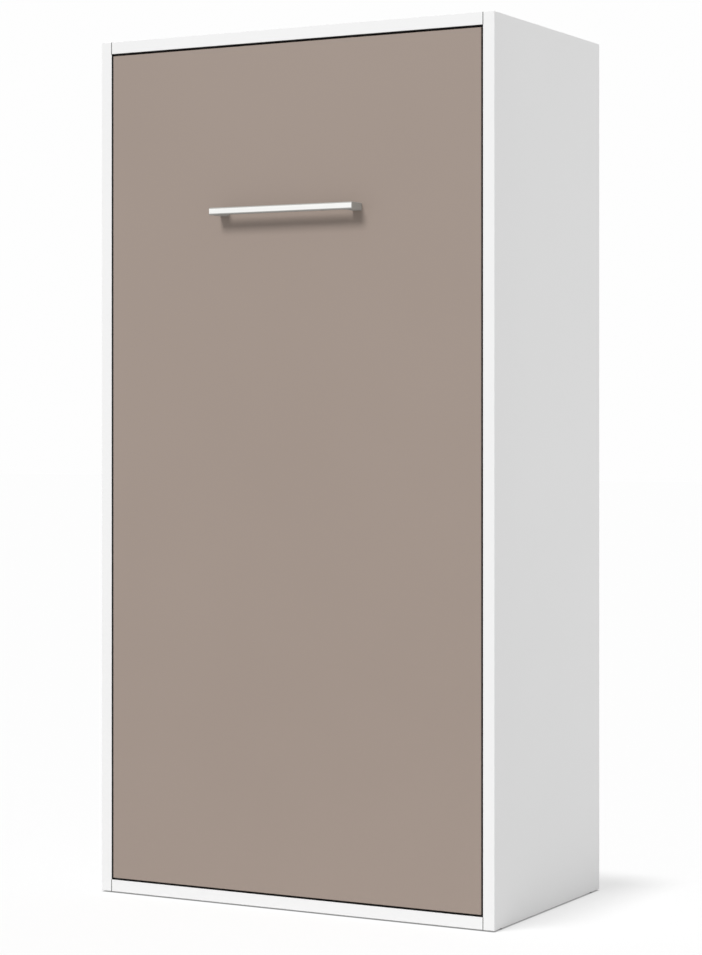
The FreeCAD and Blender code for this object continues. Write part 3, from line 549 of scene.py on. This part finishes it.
@dataclass
class Mattress:
    """A foam mattress in a quilted cover, with a piped edge round both faces."""

    finisher: Finisher
    step: float = 8 * MM
    corner: float = 48 * MM
    edge: float = 36 * MM
    edge_drop: float = 17 * MM
    crown: float = 4 * MM
    crown_reach: float = 240 * MM
    waist: float = 3 * MM
    quilt_pitch: float = 160 * MM
    quilt_depth: float = 6 * MM
    quilt_power: float = 0.4
    piping: float = 3.2 * MM
    piping_sides: int = 12
    border_rows: int = 15
    border_bulge: float = 2 * MM
    strap_dent: float = 5 * MM
    strap_ramp: float = 60 * MM

    def __post_init__(self) -> None:
        """Take the mattress's box and the straps' heights from the frame."""
        low, high = corners("mattress")
        self.middle = (low + high) / 2
        self.half = (high - low) / 2
        # half the cover's width and length, to the middle of the piping
        self.rim = self.half[[0, 2], None, None] - self.piping
        self.straps = [corners(strap) for strap in STRAPS]

    def build(self) -> None:
        """Make the cover and its piping, and let them stand for the plain block."""
        cover = self.cover()
        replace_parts(cover, "mattress")
        for piece in (cover, self.pipe()):
            self.finisher.dress(piece, "ticking")
            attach(piece, "bed")

    def outline(self) -> tuple[Array, Array]:
        """A square grid with round corners, and how far each place is from its rim.

        Each square corner is drawn onto a quarter disc, by shrinking each way with the root of
        one less half the other way's square.

        Returns:
            Places across and along, and distances from the rim.
        """
        ways = [np.linspace(-reach, reach, int(2 * reach / self.step)) for reach in self.rim.ravel()]
        flat = np.stack(np.meshgrid(*ways))
        straight = self.rim - self.corner
        over = np.maximum(np.abs(flat) - straight, 0.0) / self.corner
        drawn = self.corner * over * np.sqrt(1 - over[::-1] ** 2 / 2)
        flat = np.sign(flat) * (np.minimum(np.abs(flat), straight) + drawn)
        past = np.abs(flat) - straight
        beyond = np.hypot(*np.maximum(past, 0))
        return flat, self.corner - beyond - np.minimum(past.max(axis=0), 0)

    def panel(self, side: int) -> Array:
        """One face of the cover on a grid.

        The height falls towards the rim: a quarter ellipse at the edge, and a broad crown.
        Quilting sinks it further, and straps press it flat. The sides are drawn in between
        the corners, by one less the square of the way to a corner.

        Args:
            side: 1 for the sleeping face, -1 for the face on the slats.

        Returns:
            Rows along the length, columns across, three numbers each.
        """
        flat, inward = self.outline()
        near_rim = np.clip(1 - inward / self.edge, 0, 1)
        fall = self.edge_drop * (1 - np.sqrt(1 - near_rim ** 2))
        crown = self.crown * (1 - smooth(inward / self.crown_reach))
        sunk = fall + self.quilting(*flat, inward) + crown
        if side > 0:
            pressed = self.pressed(flat[1])
            sunk = (1 - pressed) * sunk + pressed * (fall + self.strap_dent)
        x, z = flat * (1 - self.waist / self.rim * (1 - (flat / self.rim)[::-1] ** 2))
        return self.middle + np.stack([x, side * (self.half[1] - sunk), z], axis=-1)

    def quilting(self, x: Array, z: Array, inward: Array) -> Array:
        """How deep the sewn diamonds are: nothing on a cushion's top, most along the seams.

        A cushion's height is a power of the product of two slanted sines. It fades out at the edge.

        Args:
            x: Places across.
            z: Places along.
            inward: Distances from the rim.

        Returns:
            Depths in metres.
        """
        turn = math.pi / self.quilt_pitch
        puff = np.abs(np.sin((x + z) * turn) * np.sin((x - z) * turn)) ** self.quilt_power
        return self.quilt_depth * (1 - puff) * smooth((inward - self.edge / 2) / self.edge)

    def pressed(self, z: Array) -> Array:
        """How far a place is under a strap: 1 under it, 0 beyond a ramp on each side.

        Args:
            z: Places along.

        Returns:
            Shares between 0 and 1.
        """
        share = np.zeros_like(z)
        for low, high in self.straps:
            middle = (low[2] + high[2]) / 2 - self.middle[2]
            reach = (high[2] - low[2]) / 2
            share = np.maximum(share, 1 - smooth((np.abs(z - middle) - reach) / self.strap_ramp))
        return share

    def loop(self, grid: Array) -> Array:
        """The outer ring of a grid, in order: first row, last column, and back."""
        return np.concatenate([grid[0, :-1], grid[:-1, -1], grid[-1, :0:-1], grid[:0:-1, 0]])

    def outward(self, ring: Array) -> Array:
        """Level directions across a ring, away from the middle: its run turned a quarter.

        Args:
            ring: Places in order round the ring.

        Returns:
            A direction of length 1 for each place.
        """
        run = np.roll(ring, -1, axis=0) - np.roll(ring, 1, axis=0)
        across = np.stack([run[:, 2], np.zeros(len(run)), -run[:, 0]], axis=-1)
        across /= np.linalg.norm(across, axis=1, keepdims=True)
        facing = np.sum(across * (ring - self.middle), axis=1)
        return across * np.sign(facing)[:, None]

    def cover(self) -> Piece:
        """Both faces and the border between their rims, which bulges a little.

        The cloth of a face is laid out as it lies, and the border's is folded out beyond the rim.

        Returns:
            The closed cover.
        """
        upper, lower = self.panel(1), self.panel(-1)
        upper_rim, lower_rim = self.loop(upper), self.loop(lower)
        shares = np.linspace(0, 1, self.border_rows)[1:-1, None, None]
        away = self.outward(upper_rim)
        bulge = self.border_bulge * np.sin(math.pi * shares) * away
        border = (1 - shares) * upper_rim + shares * lower_rim + bulge
        folded_out = upper_rim + shares * (upper_rim - lower_rim)[:, 1:2] * away
        grids = [upper, lower, border]
        above, below, between = numbered(grids)
        band = np.vstack([self.loop(above)[None], between, self.loop(below)[None]])
        faces = np.concatenate([quads(above), quads(below), quads(band, closed=True)])
        return new_piece("mattress_cover", joined(grids), faces, crease_deg=60,
                         cloth=joined([upper, lower, folded_out]))

    def pipe(self) -> Piece:
        """Piping: a small circle carried round each rim.

        Returns:
            Both rings as one piece.
        """
        turns = np.linspace(0, 2 * math.pi, self.piping_sides, endpoint=False)
        rings = []
        cloth = []
        for side in (1, -1):
            rim = self.loop(self.panel(side))
            away = self.outward(rim)[:, None] * np.cos(turns)[None, :, None]
            up = Y_AXIS * np.sin(turns)[None, :, None]
            rings.append(rim[:, None] + self.piping * (away + up))
            cloth.append(lay_out(run_length(rim), turns * self.piping))
        return new_piece("mattress_piping", joined(rings), ring_quads(rings), cloth=joined(cloth))


@dataclass
class Strap:
    """An elastic strap over the mattress, from one rail to the other."""

    finisher: Finisher
    mattress: Mattress
    node: str
    thickness: float = 1.6 * MM
    anchor: float = 24 * MM
    ramp: float = 46 * MM
    rise_points: int = 40
    arc_points: int = 14
    flat_points: int = 20
    selvedge: float = 0.6 * MM
    selvedge_share: float = 0.3

    def build(self) -> None:
        """Carry the strap's section along its path and let it stand for the plain one."""
        low, high = corners(self.node)
        path = self.path(low, high)
        run = np.gradient(path, axis=0)
        run /= np.linalg.norm(run, axis=1, keepdims=True)
        normal = np.stack([-run[:, 1], run[:, 0]], axis=-1)
        offset, height = self.section(high[2] - low[2])
        across = path[:, None] + normal[:, None] * offset[None, :, None]
        level = np.broadcast_to((low[2] + high[2]) / 2 + height, across.shape[:2])
        points = np.concatenate([across, level[..., None]], axis=-1)
        [index] = numbered([points])
        half = index.shape[1] // 2
        ends = [quads(np.stack([end[:half], end[half:][::-1]])) for end in (index[0, ::-1], index[-1])]
        piece = new_piece(f"{self.node}_webbing", points, np.concatenate([quads(index, closed=True), *ends]),
                          cloth=lay_out(run_length(path), height))
        self.finisher.dress(piece, "elastic_web")
        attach(piece, "bed")
        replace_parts(piece, self.node)

    def section(self, width: float) -> tuple[Array, Array]:
        """A flat section with thinner selvedges, the same number of points on both sides.

        Args:
            width: Across the strap.

        Returns:
            Offsets through the strap and heights across it.
        """
        half = width / 2
        height = np.array([-half, -half + self.selvedge, 0, half - self.selvedge, half])
        offset = np.array([self.selvedge_share, 1.0, 1.0, 1.0, self.selvedge_share]) * self.thickness / 2
        return np.concatenate([offset, -offset]), np.concatenate([height, height[::-1]])

    def path(self, low: Array, high: Array) -> Array:
        """The strap's middle line, seen along its width.

        It leaves the rail, sways over to the mattress's side, follows the quarter ellipse of the
        mattress's edge and runs straight across. The other half mirrors it.

        Args:
            low: Lowest corner of the plain strap.
            high: Highest corner of the plain strap.

        Returns:
            Places across and through the bed.
        """
        mattress = self.mattress
        face = mattress.middle[1] + mattress.half[1] - mattress.strap_dent + self.thickness
        side = mattress.half[0] + self.thickness
        wall = high[0] - self.thickness / 2
        bend = face - mattress.edge_drop
        rise = np.linspace(low[1], bend, self.rise_points)
        sway = wall + (side - wall) * smooth((rise - low[1] - self.anchor) / self.ramp)
        turn = np.linspace(0, math.pi / 2, self.arc_points)[1:]
        round_x = side - mattress.edge * (1 - np.cos(turn))
        round_y = bend + mattress.edge_drop * np.sin(turn)
        flat_x = np.linspace(round_x[-1], 0, self.flat_points)[1:]
        half = np.concatenate([np.stack([sway, rise], axis=-1), np.stack([round_x, round_y], axis=-1),
                               np.stack([flat_x, np.full_like(flat_x, face)], axis=-1)])
        return np.concatenate([half, half[-2::-1] * np.array([-1.0, 1.0])])


class Lie(Enum):
    """Which way a flat ring lies: the axes of its width, its height and its thickness."""

    UPRIGHT_ACROSS = (0, 2, 1)
    UPRIGHT_ALONG = (1, 2, 0)


@dataclass
class PaintedShade:
    """Painted shade: a black sheet behind the door's gap, and a dark strip in the grooves between the boards.
    """

    finisher: Finisher
    # a black sheet of painted shade just inside the door's gap: its thickness, width and setback
    shade_sheet: float = 0.5 * MM
    shade_sheet_width: float = 17 * MM
    shade_sheet_back: float = 1.5 * MM
    # dark strips of painted shade in the grooves: how far they stand proud, how deep and how wide
    line_proud: float = 0.03 * MM
    line_depth: float = 0.6 * MM
    line_width: float = 2.0 * MM

    def build(self) -> None:
        """Lay the black sheet round the inside of the front, and a dark line round each joint plane, both
        painted shade.
        """
        inner = corners("side_panel_right")[0, 0]
        top, bottom = corners("top_board"), corners("bottom_board")
        front = top[0, 1] + self.shade_sheet_back
        opening = np.array([[-inner, bottom[1, 2]], [inner, top[0, 2]]])
        # painted shade that darkens the door's gap
        shade_sheet = self.ring(opening, self.shade_sheet, (front, front + self.shade_sheet_width), Lie.UPRIGHT_ACROSS)
        self.lay("gap_painted_shade", "rubber", [shade_sheet])
        # dark strips of painted shade at the foot of the grooves between the boards
        lines = []
        for board in (top, bottom):
            end = board[:, 1:] + np.array([[-self.line_proud], [self.line_proud]])
            for middle in (-inner, inner):
                reach = (middle - self.line_width / 2, middle + self.line_width / 2)
                lines.append(self.ring(end, self.line_depth, reach, Lie.UPRIGHT_ALONG))
        self.lay("joint_painted_shade", "black_plastic", lines)

    def ring(self, box: Array, wall: float, reach: tuple[float, float], lie: Lie) -> Array:
        """A rectangular ring: four corners, each with an outer and an inner point at both ends.

        A corner is the middle plus its sign times the half size, less the wall for the inner point.

        Args:
            box: Lowest and highest outer corner, each across and up.
            wall: Distance from the outer to the inner rectangle.
            reach: Where the ring starts and ends along its thickness.
            lie: Which way it lies.

        Returns:
            Rows of corners, columns round the section, three numbers each.
        """
        middle = (box[0] + box[1]) / 2
        half = (box[1] - box[0]) / 2
        outer = middle + SQUARE * half
        inner = middle + SQUARE * (half - wall)
        flat = np.stack([outer, outer, inner, inner], axis=1)
        through = np.broadcast_to(np.array([reach[0], reach[1], reach[1], reach[0]]), flat.shape[:2])
        points = np.concatenate([flat, through[..., None]], axis=-1)
        return points[..., np.argsort(lie.value)]

    def lay(self, name: str, slot: str, rings: list[Array]) -> None:
        """Put rings into one piece that rides on the cupboard.

        Args:
            name: The piece's name.
            slot: The slot of its finish.
            rings: Rows of corners and columns round the section.
        """
        piece = new_piece(name, joined(rings), ring_quads(rings))
        self.finisher.dress(piece, slot)
        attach(piece, "cupboard")


class Recess(Enum):
    """The driver's recess in a screw or cap; a cross has the half width of its bars as a share."""

    HEXAGON = 0.0
    CROSS = 0.28

    def outline(self, turns: Array, radius: float) -> Array:
        """Distance of the recess's wall from the axis.

        A hexagon's wall is its inner radius over the cosine of the angle to the nearest flat. A
        cross is two crossed bars: an end within the bar's angle, and a flank beyond it.

        Args:
            turns: Angles round the axis.
            radius: Reach of the recess.

        Returns:
            Distances from the axis.
        """
        if self is Recess.HEXAGON:
            sixth = math.pi / 3
            return radius * math.cos(sixth / 2) / np.cos(np.mod(turns, sixth) - sixth / 2)
        quarter = np.abs(np.mod(turns + math.pi / 4, math.pi / 2) - math.pi / 4)
        flank = self.value / np.maximum(np.sin(quarter), TINY)
        return radius * np.minimum(1 / np.cos(quarter), flank)


@dataclass(frozen=True)
class Head:
    """The head of a small fitting: its recess and its dome, in shares of its radius and height."""

    recess: Recess
    reach: float
    floor: float
    rim: float
    dome: Profile

    def turned(self, radius: float, height: float, below: Profile, sides: int) -> Array:
        """The head on height 0 and what is below it: a profile turned about Z.

        The rows of the recess follow its outline, and the others are circles.

        Args:
            radius: Of the head.
            height: Of the head.
            below: Radius and height of each further row.
            sides: How many places a row has.

        Returns:
            Rows of places round the axis.
        """
        turns = np.linspace(0, 2 * math.pi, sides, endpoint=False)
        wall = self.recess.outline(turns, self.reach * radius)
        circles = np.vstack([np.array(self.dome) * (radius, height), below])
        reach = np.vstack([np.zeros(sides), wall, wall, np.repeat(circles[:, :1], sides, axis=1)])
        recess = height * np.array([self.floor, self.floor, self.rim])
        levels = np.concatenate([recess, circles[:, 1]])
        level = np.broadcast_to(levels[:, None], reach.shape)
        return np.stack([reach * np.cos(turns), reach * np.sin(turns), level], axis=-1)


PAN_HEAD = Head(Recess.CROSS, reach=0.48, floor=0.35, rim=0.97,
                dome=((0.62, 0.99), (0.86, 0.78), (1.0, 0.3), (1.0, 0.0)))
LOW_CAP = Head(Recess.HEXAGON, reach=0.5, floor=0.3, rim=1.0,
               dome=((0.9, 1.0), (1.0, 0.6), (1.0, 0.0), (0.55, 0.0)))


def shank(radius: float, length: float) -> Profile:
    """Profile of a screw's shank below its head: straight, with a short point."""
    return (radius, 0.0), (radius, radius - length), (0.0, -length)


def loose_boxes(node: str, gap: float) -> list[Array]:
    """Lowest and highest corner of each loose piece in a node.

    Along each axis, sorted places are numbered by how many steps before them are wider than the
    gap. Places with the same three numbers are one piece.

    Args:
        node: Name of the node.
        gap: The least distance between two pieces along one axis.

    Returns:
        Two corners for each piece, a row each.
    """
    mesh = FRAME["nodes"][node].data
    points = np.empty((len(mesh.vertices), 3))
    mesh.vertices.foreach_get("co", points.ravel())
    order = np.argsort(points, axis=0)
    placed = np.take_along_axis(points, order, axis=0)
    steps = np.diff(placed, axis=0, prepend=placed[:1]) > gap
    keys = np.empty_like(order)
    np.put_along_axis(keys, order, np.cumsum(steps, axis=0), axis=0)
    groups = [points[(keys == key).all(axis=1)] for key in np.unique(keys, axis=0)]
    return [np.stack([group.min(axis=0), group.max(axis=0)]) for group in groups]


class Facing(Enum):
    """Which way the heads of screws point: the axis, and the sense along it."""

    TO_MIDDLE = (0, -1.0)
    FROM_MIDDLE = (0, 1.0)
    TO_BACK = (1, 1.0)


@dataclass
class Fittings:
    """The screws and caps that show when the bed is down."""

    finisher: Finisher
    # screws are told apart by gaps that are wider than a shank is long
    plate_screw_gap: float = 20 * MM
    handle_screw_gap: float = 60 * MM
    # and the steel angles by one that is wider than their legs
    angle_gap: float = 60 * MM
    sides: int = 32
    small_sides: int = 24
    head_height: float = 2.5 * MM
    shank: float = 2.5 * MM
    thin_shank: float = 2.0 * MM
    small_head: float = 4.2 * MM
    small_head_height: float = 2.0 * MM
    small_length: float = 14 * MM
    bracket_wall: float = 4 * MM
    bracket_spread: float = 20 * MM
    angle_wall: float = 2.5 * MM
    angle_spread: float = 11 * MM
    cap_radius: float = 9 * MM
    cap_height: float = 1.0 * MM
    cap_stem: float = 6 * MM
    cap_stem_radius: float = 4.5 * MM
    cam_inset: float = 34 * MM
    cam_depth: float = 70 * MM

    def build(self) -> None:
        """Make the screws of turning points, handle, brackets and angles, and the cams' caps."""
        self.whole_screws("hinge_screws", "cupboard", Facing.TO_MIDDLE, self.plate_screw_gap, self.shank)
        self.whole_screws("bed_plate_screws", "bed", Facing.FROM_MIDDLE, self.plate_screw_gap, self.shank)
        self.whole_screws("handle_screws", "bed", Facing.TO_BACK, self.handle_screw_gap, self.thin_shank)
        self.bracket_screws()
        self.angle_screws()
        self.cam_caps()

    def whole_screws(self, node: str, body: str, facing: Facing, gap: float, thread: float) -> None:
        """Pan-headed screws in place of a node's plain ones, as long and with heads as wide.

        Args:
            node: The plain screws that they stand for.
            body: What they ride on.
            facing: Which way their heads point.
            gap: What tells two screws apart.
            thread: Radius of the shank.
        """
        boxes = loose_boxes(node, gap)
        axis, sense = facing.value
        places = []
        for low, high in boxes:
            place = (low + high) / 2
            up = np.zeros(3)
            up[axis] = sense if facing is Facing.TO_BACK else sense * np.sign(place[0])
            outer = high if up[axis] > 0 else low
            place[axis] = outer[axis] - up[axis] * self.head_height
            places.append((place, up))
        size = np.ptp(boxes[-1], axis=0)
        # the axis after the screw's own one is across its head
        radius = size[axis - 2] / 2
        below = shank(thread, size[axis] - self.head_height)
        shape = PAN_HEAD.turned(radius, self.head_height, below, self.sides)
        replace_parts(self.repeat(f"{node}_turned", "zinc_steel", body, shape, places), node)

    def bracket_screws(self) -> None:
        """Four screws round the stud of each gas spring's bracket."""
        places = []
        for side, towards in SIDES:
            low, high = corners(f"spring_bracket_{side}")
            middle = (low + high) / 2
            wall = low[0] if towards > 0 else high[0]
            for across in (-self.bracket_spread, self.bracket_spread):
                for up in (-self.bracket_spread, self.bracket_spread):
                    place = np.array([wall + towards * self.bracket_wall, middle[1] + across, middle[2] + up])
                    places.append((place, towards * X_AXIS))
        self.small_screws("bracket_screws", "cupboard", places)

    def angle_screws(self) -> None:
        """Two screws in each leg of the steel angles: into the rail and into the door."""
        places = []
        for side, towards in SIDES:
            for low, high in loose_boxes(f"frame_angles_{side}", self.angle_gap):
                middle = (low + high) / 2
                rail = low[0] if towards > 0 else high[0]
                for level in (middle[2] - self.angle_spread, middle[2] + self.angle_spread):
                    on_rail = np.array([rail + towards * self.angle_wall, middle[1], level])
                    on_door = np.array([middle[0], low[1] + self.angle_wall, level])
                    places += [(on_rail, towards * X_AXIS), (on_door, Y_AXIS)]
        self.small_screws("angle_screws", "bed", places)

    def small_screws(self, name: str, body: str, places: list[Place]) -> None:
        """Short pan-headed screws whose heads stand at the places, on a plate of a body."""
        shape = PAN_HEAD.turned(self.small_head, self.small_head_height,
                                shank(self.thin_shank, self.small_length), self.small_sides)
        self.repeat(name, "zinc_steel", body, shape, places)

    def cam_caps(self) -> None:
        """Plastic caps on the cams, under the top board and on the bottom board."""
        places = []
        panel = corners("back_panel_lower")[0, 1]
        for node, level, up in (("top_board", 0, -1.0), ("bottom_board", 1, 1.0)):
            low, high = board = corners(node)
            for x in (low[0] + self.cam_inset, high[0] - self.cam_inset):
                for y in (low[1] + self.cam_depth, panel - self.cam_depth):
                    places.append((np.array([x, y, board[level, 2]]), up * Z_AXIS))
        stem = (self.cap_stem_radius, -self.cap_stem), (0.0, -self.cap_stem)
        shape = LOW_CAP.turned(self.cap_radius, self.cap_height, stem, self.sides)
        self.repeat("cam_caps", "nylon", "cupboard", shape, places)

    def repeat(self, name: str, slot: str, body: str, shape: Array, places: list[Place]) -> Piece:
        """Repeat a shape at places, each turned so that its axis points a given way.

        Args:
            name: Of the piece that holds all the copies.
            slot: The slot of its finish.
            body: What it rides on.
            shape: Rows of places round the axis.
            places: Where height 0 is, and which way up points.

        Returns:
            All copies as one piece.
        """
        copies = []
        for place, up in places:
            side = np.roll(up, 1)
            copies.append(shape @ np.stack([side, np.cross(up, side), up]) + place)
        faces = np.concatenate([quads(index, closed=True) for index in numbered(copies)])
        piece = new_piece(name, joined(copies), faces, crease_deg=30)
        self.finisher.dress(piece, slot)
        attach(piece, body)
        return piece


class Shine(Enum):
    """How a lamp shines: in parallel from afar, or from a square close by."""

    AFAR = "SUN"
    CLOSE = "AREA"


class Lit(Enum):
    """What a lamp lights: the floor alone, or all but the floor."""

    FLOOR = "INCLUDE"
    OBJECT = "EXCLUDE"


@dataclass(frozen=True)
class Lamp:
    """A lamp; its width is in degrees where it shines from afar, and in metres close by."""

    name: str
    shine: Shine
    lit: Lit
    strength: float
    width: float
    # where it hangs, and where its back points
    place: Triple
    back: Triple

    def hang(self, floor: Piece) -> None:
        """Put the lamp in its place and let it light the floor alone, or all but the floor.

        Args:
            floor: The floor.
        """
        light = bpy.data.lights.new(self.name, self.shine.value)
        light.energy = self.strength
        if self.shine is Shine.AFAR:
            light.angle = math.radians(self.width)
        else:
            light.size = self.width
        holder = bpy.data.objects.new(self.name, light)
        holder.location = self.place
        holder.rotation_euler = Vector(self.back).to_track_quat("Z", "Y").to_euler()
        bpy.context.scene.collection.objects.link(holder)
        group = bpy.data.collections.new(f"{self.name}_receivers")
        group.objects.link(floor)
        group.collection_objects[0].light_linking.link_state = self.lit.value
        holder.light_linking.receiver_collection = group


# A key light from the front, a high one for the floor's shadow alone, and a fill lamp on the right.
LAMPS = (
    Lamp("key", Shine.AFAR, Lit.OBJECT, strength=2.03, width=20.0,
         place=(-0.7, -4.4, 3.3), back=(-0.7, -4.4, 3.3)),
    Lamp("shade", Shine.AFAR, Lit.FLOOR, strength=2.4, width=5.0,
         place=(-0.2, -0.45, 5.0), back=(-0.2, -0.45, 5.0)),
    Lamp("fill", Shine.CLOSE, Lit.OBJECT, strength=108.0, width=4.0,
         place=(6.0, 0.7, 1.1), back=(1.0, 0.0, 0.05)),
)


@dataclass
class Studio:
    """The camera of the photograph, a pale floor and plain soft light."""

    focal_px: float = 2594.06
    image_height_px: float = 955.0
    horizon_px: float = 417.32
    sensor: float = 36.0
    yaw_deg: float = 28.618
    eye: Triple = (3.2047, -5.8466, 1.2208)
    floor_half: float = 40.0
    floor_glow: float = 0.64
    floor_shown: str = "#959595"
    floor_bounce: str = "#bcbcbc"
    contact_reach: float = 5 * MM
    ambient: float = 0.385
    background: float = 0.99

    def build(self) -> None:
        """Set up everything round the object."""
        self.camera()
        floor = self.floor()
        self.world()
        for lamp in LAMPS:
            lamp.hang(floor)
        bpy.context.scene.view_settings.view_transform = "Standard"

    def camera(self) -> None:
        """A level camera whose shift puts the horizon where the photograph has it."""
        lens = bpy.data.cameras.new("photo_camera")
        lens.sensor_width = self.sensor
        lens.lens = self.focal_px * self.sensor / self.image_height_px
        lens.shift_y = -(self.image_height_px / 2 - self.horizon_px) / self.image_height_px
        holder = bpy.data.objects.new("photo_camera", lens)
        holder.location = self.eye
        holder.rotation_euler = (math.pi / 2, 0.0, math.radians(self.yaw_deg))
        bpy.context.scene.collection.objects.link(holder)
        bpy.context.scene.camera = holder

    def seen(self, tree: Tree) -> Socket:
        """1 where a surface is seen, straight or in a mirror or glass, and 0 where it only lights.

        Args:
            tree: The node tree.

        Returns:
            The share.
        """
        rays = add(tree, "ShaderNodeLightPath").outputs
        share = rays["Is Camera Ray"]
        for ray in ("Is Glossy Ray", "Is Transmission Ray"):
            share = add(tree, "ShaderNodeMath", {0: share, 1: rays[ray]}, operation="MAXIMUM").outputs[0]
        return share

    def floor(self) -> Piece:
        """A pale floor that keeps a soft shadow beside the object and a dark line under it, partly its shadow
        and partly painted shade.

        What is seen of it is a glow that fades where the object is close above, as painted shade, plus a grey
        surface for the shadow.

        Returns:
            The floor.
        """
        outline = np.pad(SQUARE * self.floor_half, ((0, 0), (0, 1)))
        plane = new_piece("floor", outline, np.array([[0, 1, 2, 3]]))
        made = bpy.data.materials.new("pale_floor")
        made.use_nodes = True
        tree = made.node_tree
        tree.nodes.clear()
        bounce = add(tree, "ShaderNodeBsdfDiffuse", {"Color": linear(self.floor_bounce)})
        shown = add(tree, "ShaderNodeBsdfDiffuse", {"Color": linear(self.floor_shown)})
        # painted shade: the glow fades by ambient occlusion close under the object
        open_share = add(tree, "ShaderNodeAmbientOcclusion", {"Distance": self.contact_reach})
        glow = add(tree, "ShaderNodeMath", {0: open_share.outputs["AO"], 1: self.floor_glow},
                   operation="MULTIPLY")
        lift = add(tree, "ShaderNodeEmission", {"Color": linear(WHITE), "Strength": glow.outputs[0]})
        bright = add(tree, "ShaderNodeAddShader", {0: shown.outputs[0], 1: lift.outputs[0]})
        mixed = add(tree, "ShaderNodeMixShader", {
            0: self.seen(tree), 1: bounce.outputs[0], 2: bright.outputs[0]})
        add(tree, "ShaderNodeOutputMaterial", {"Surface": mixed.outputs[0]})
        plane.data.materials.append(made)
        return plane

    def world(self) -> None:
        """White to the eye, and a softer light from all round."""
        sky = bpy.data.worlds.new("white_studio")
        sky.use_nodes = True
        tree = sky.node_tree
        tree.nodes.clear()
        strength = add(tree, "ShaderNodeMapRange", {
            "Value": self.seen(tree), "To Min": self.ambient, "To Max": self.background})
        shine = add(tree, "ShaderNodeBackground", {
            "Color": linear(WHITE), "Strength": strength.outputs["Result"]})
        add(tree, "ShaderNodeOutputWorld", {"Surface": shine.outputs[0]})
        bpy.context.scene.world = sky


def main() -> None:
    """Dress the frame, make the new pieces and set up the studio."""
    logging.basicConfig(level=logging.INFO, format="%(name)s: %(message)s")
    finisher = Finisher()
    finisher.dress_nodes()
    mattress = Mattress(finisher)
    mattress.build()
    for strap in STRAPS:
        Strap(finisher, mattress, strap).build()
    PaintedShade(finisher).build()
    Fittings(finisher).build()
    Studio().build()


if __name__ == "__main__":
    main()
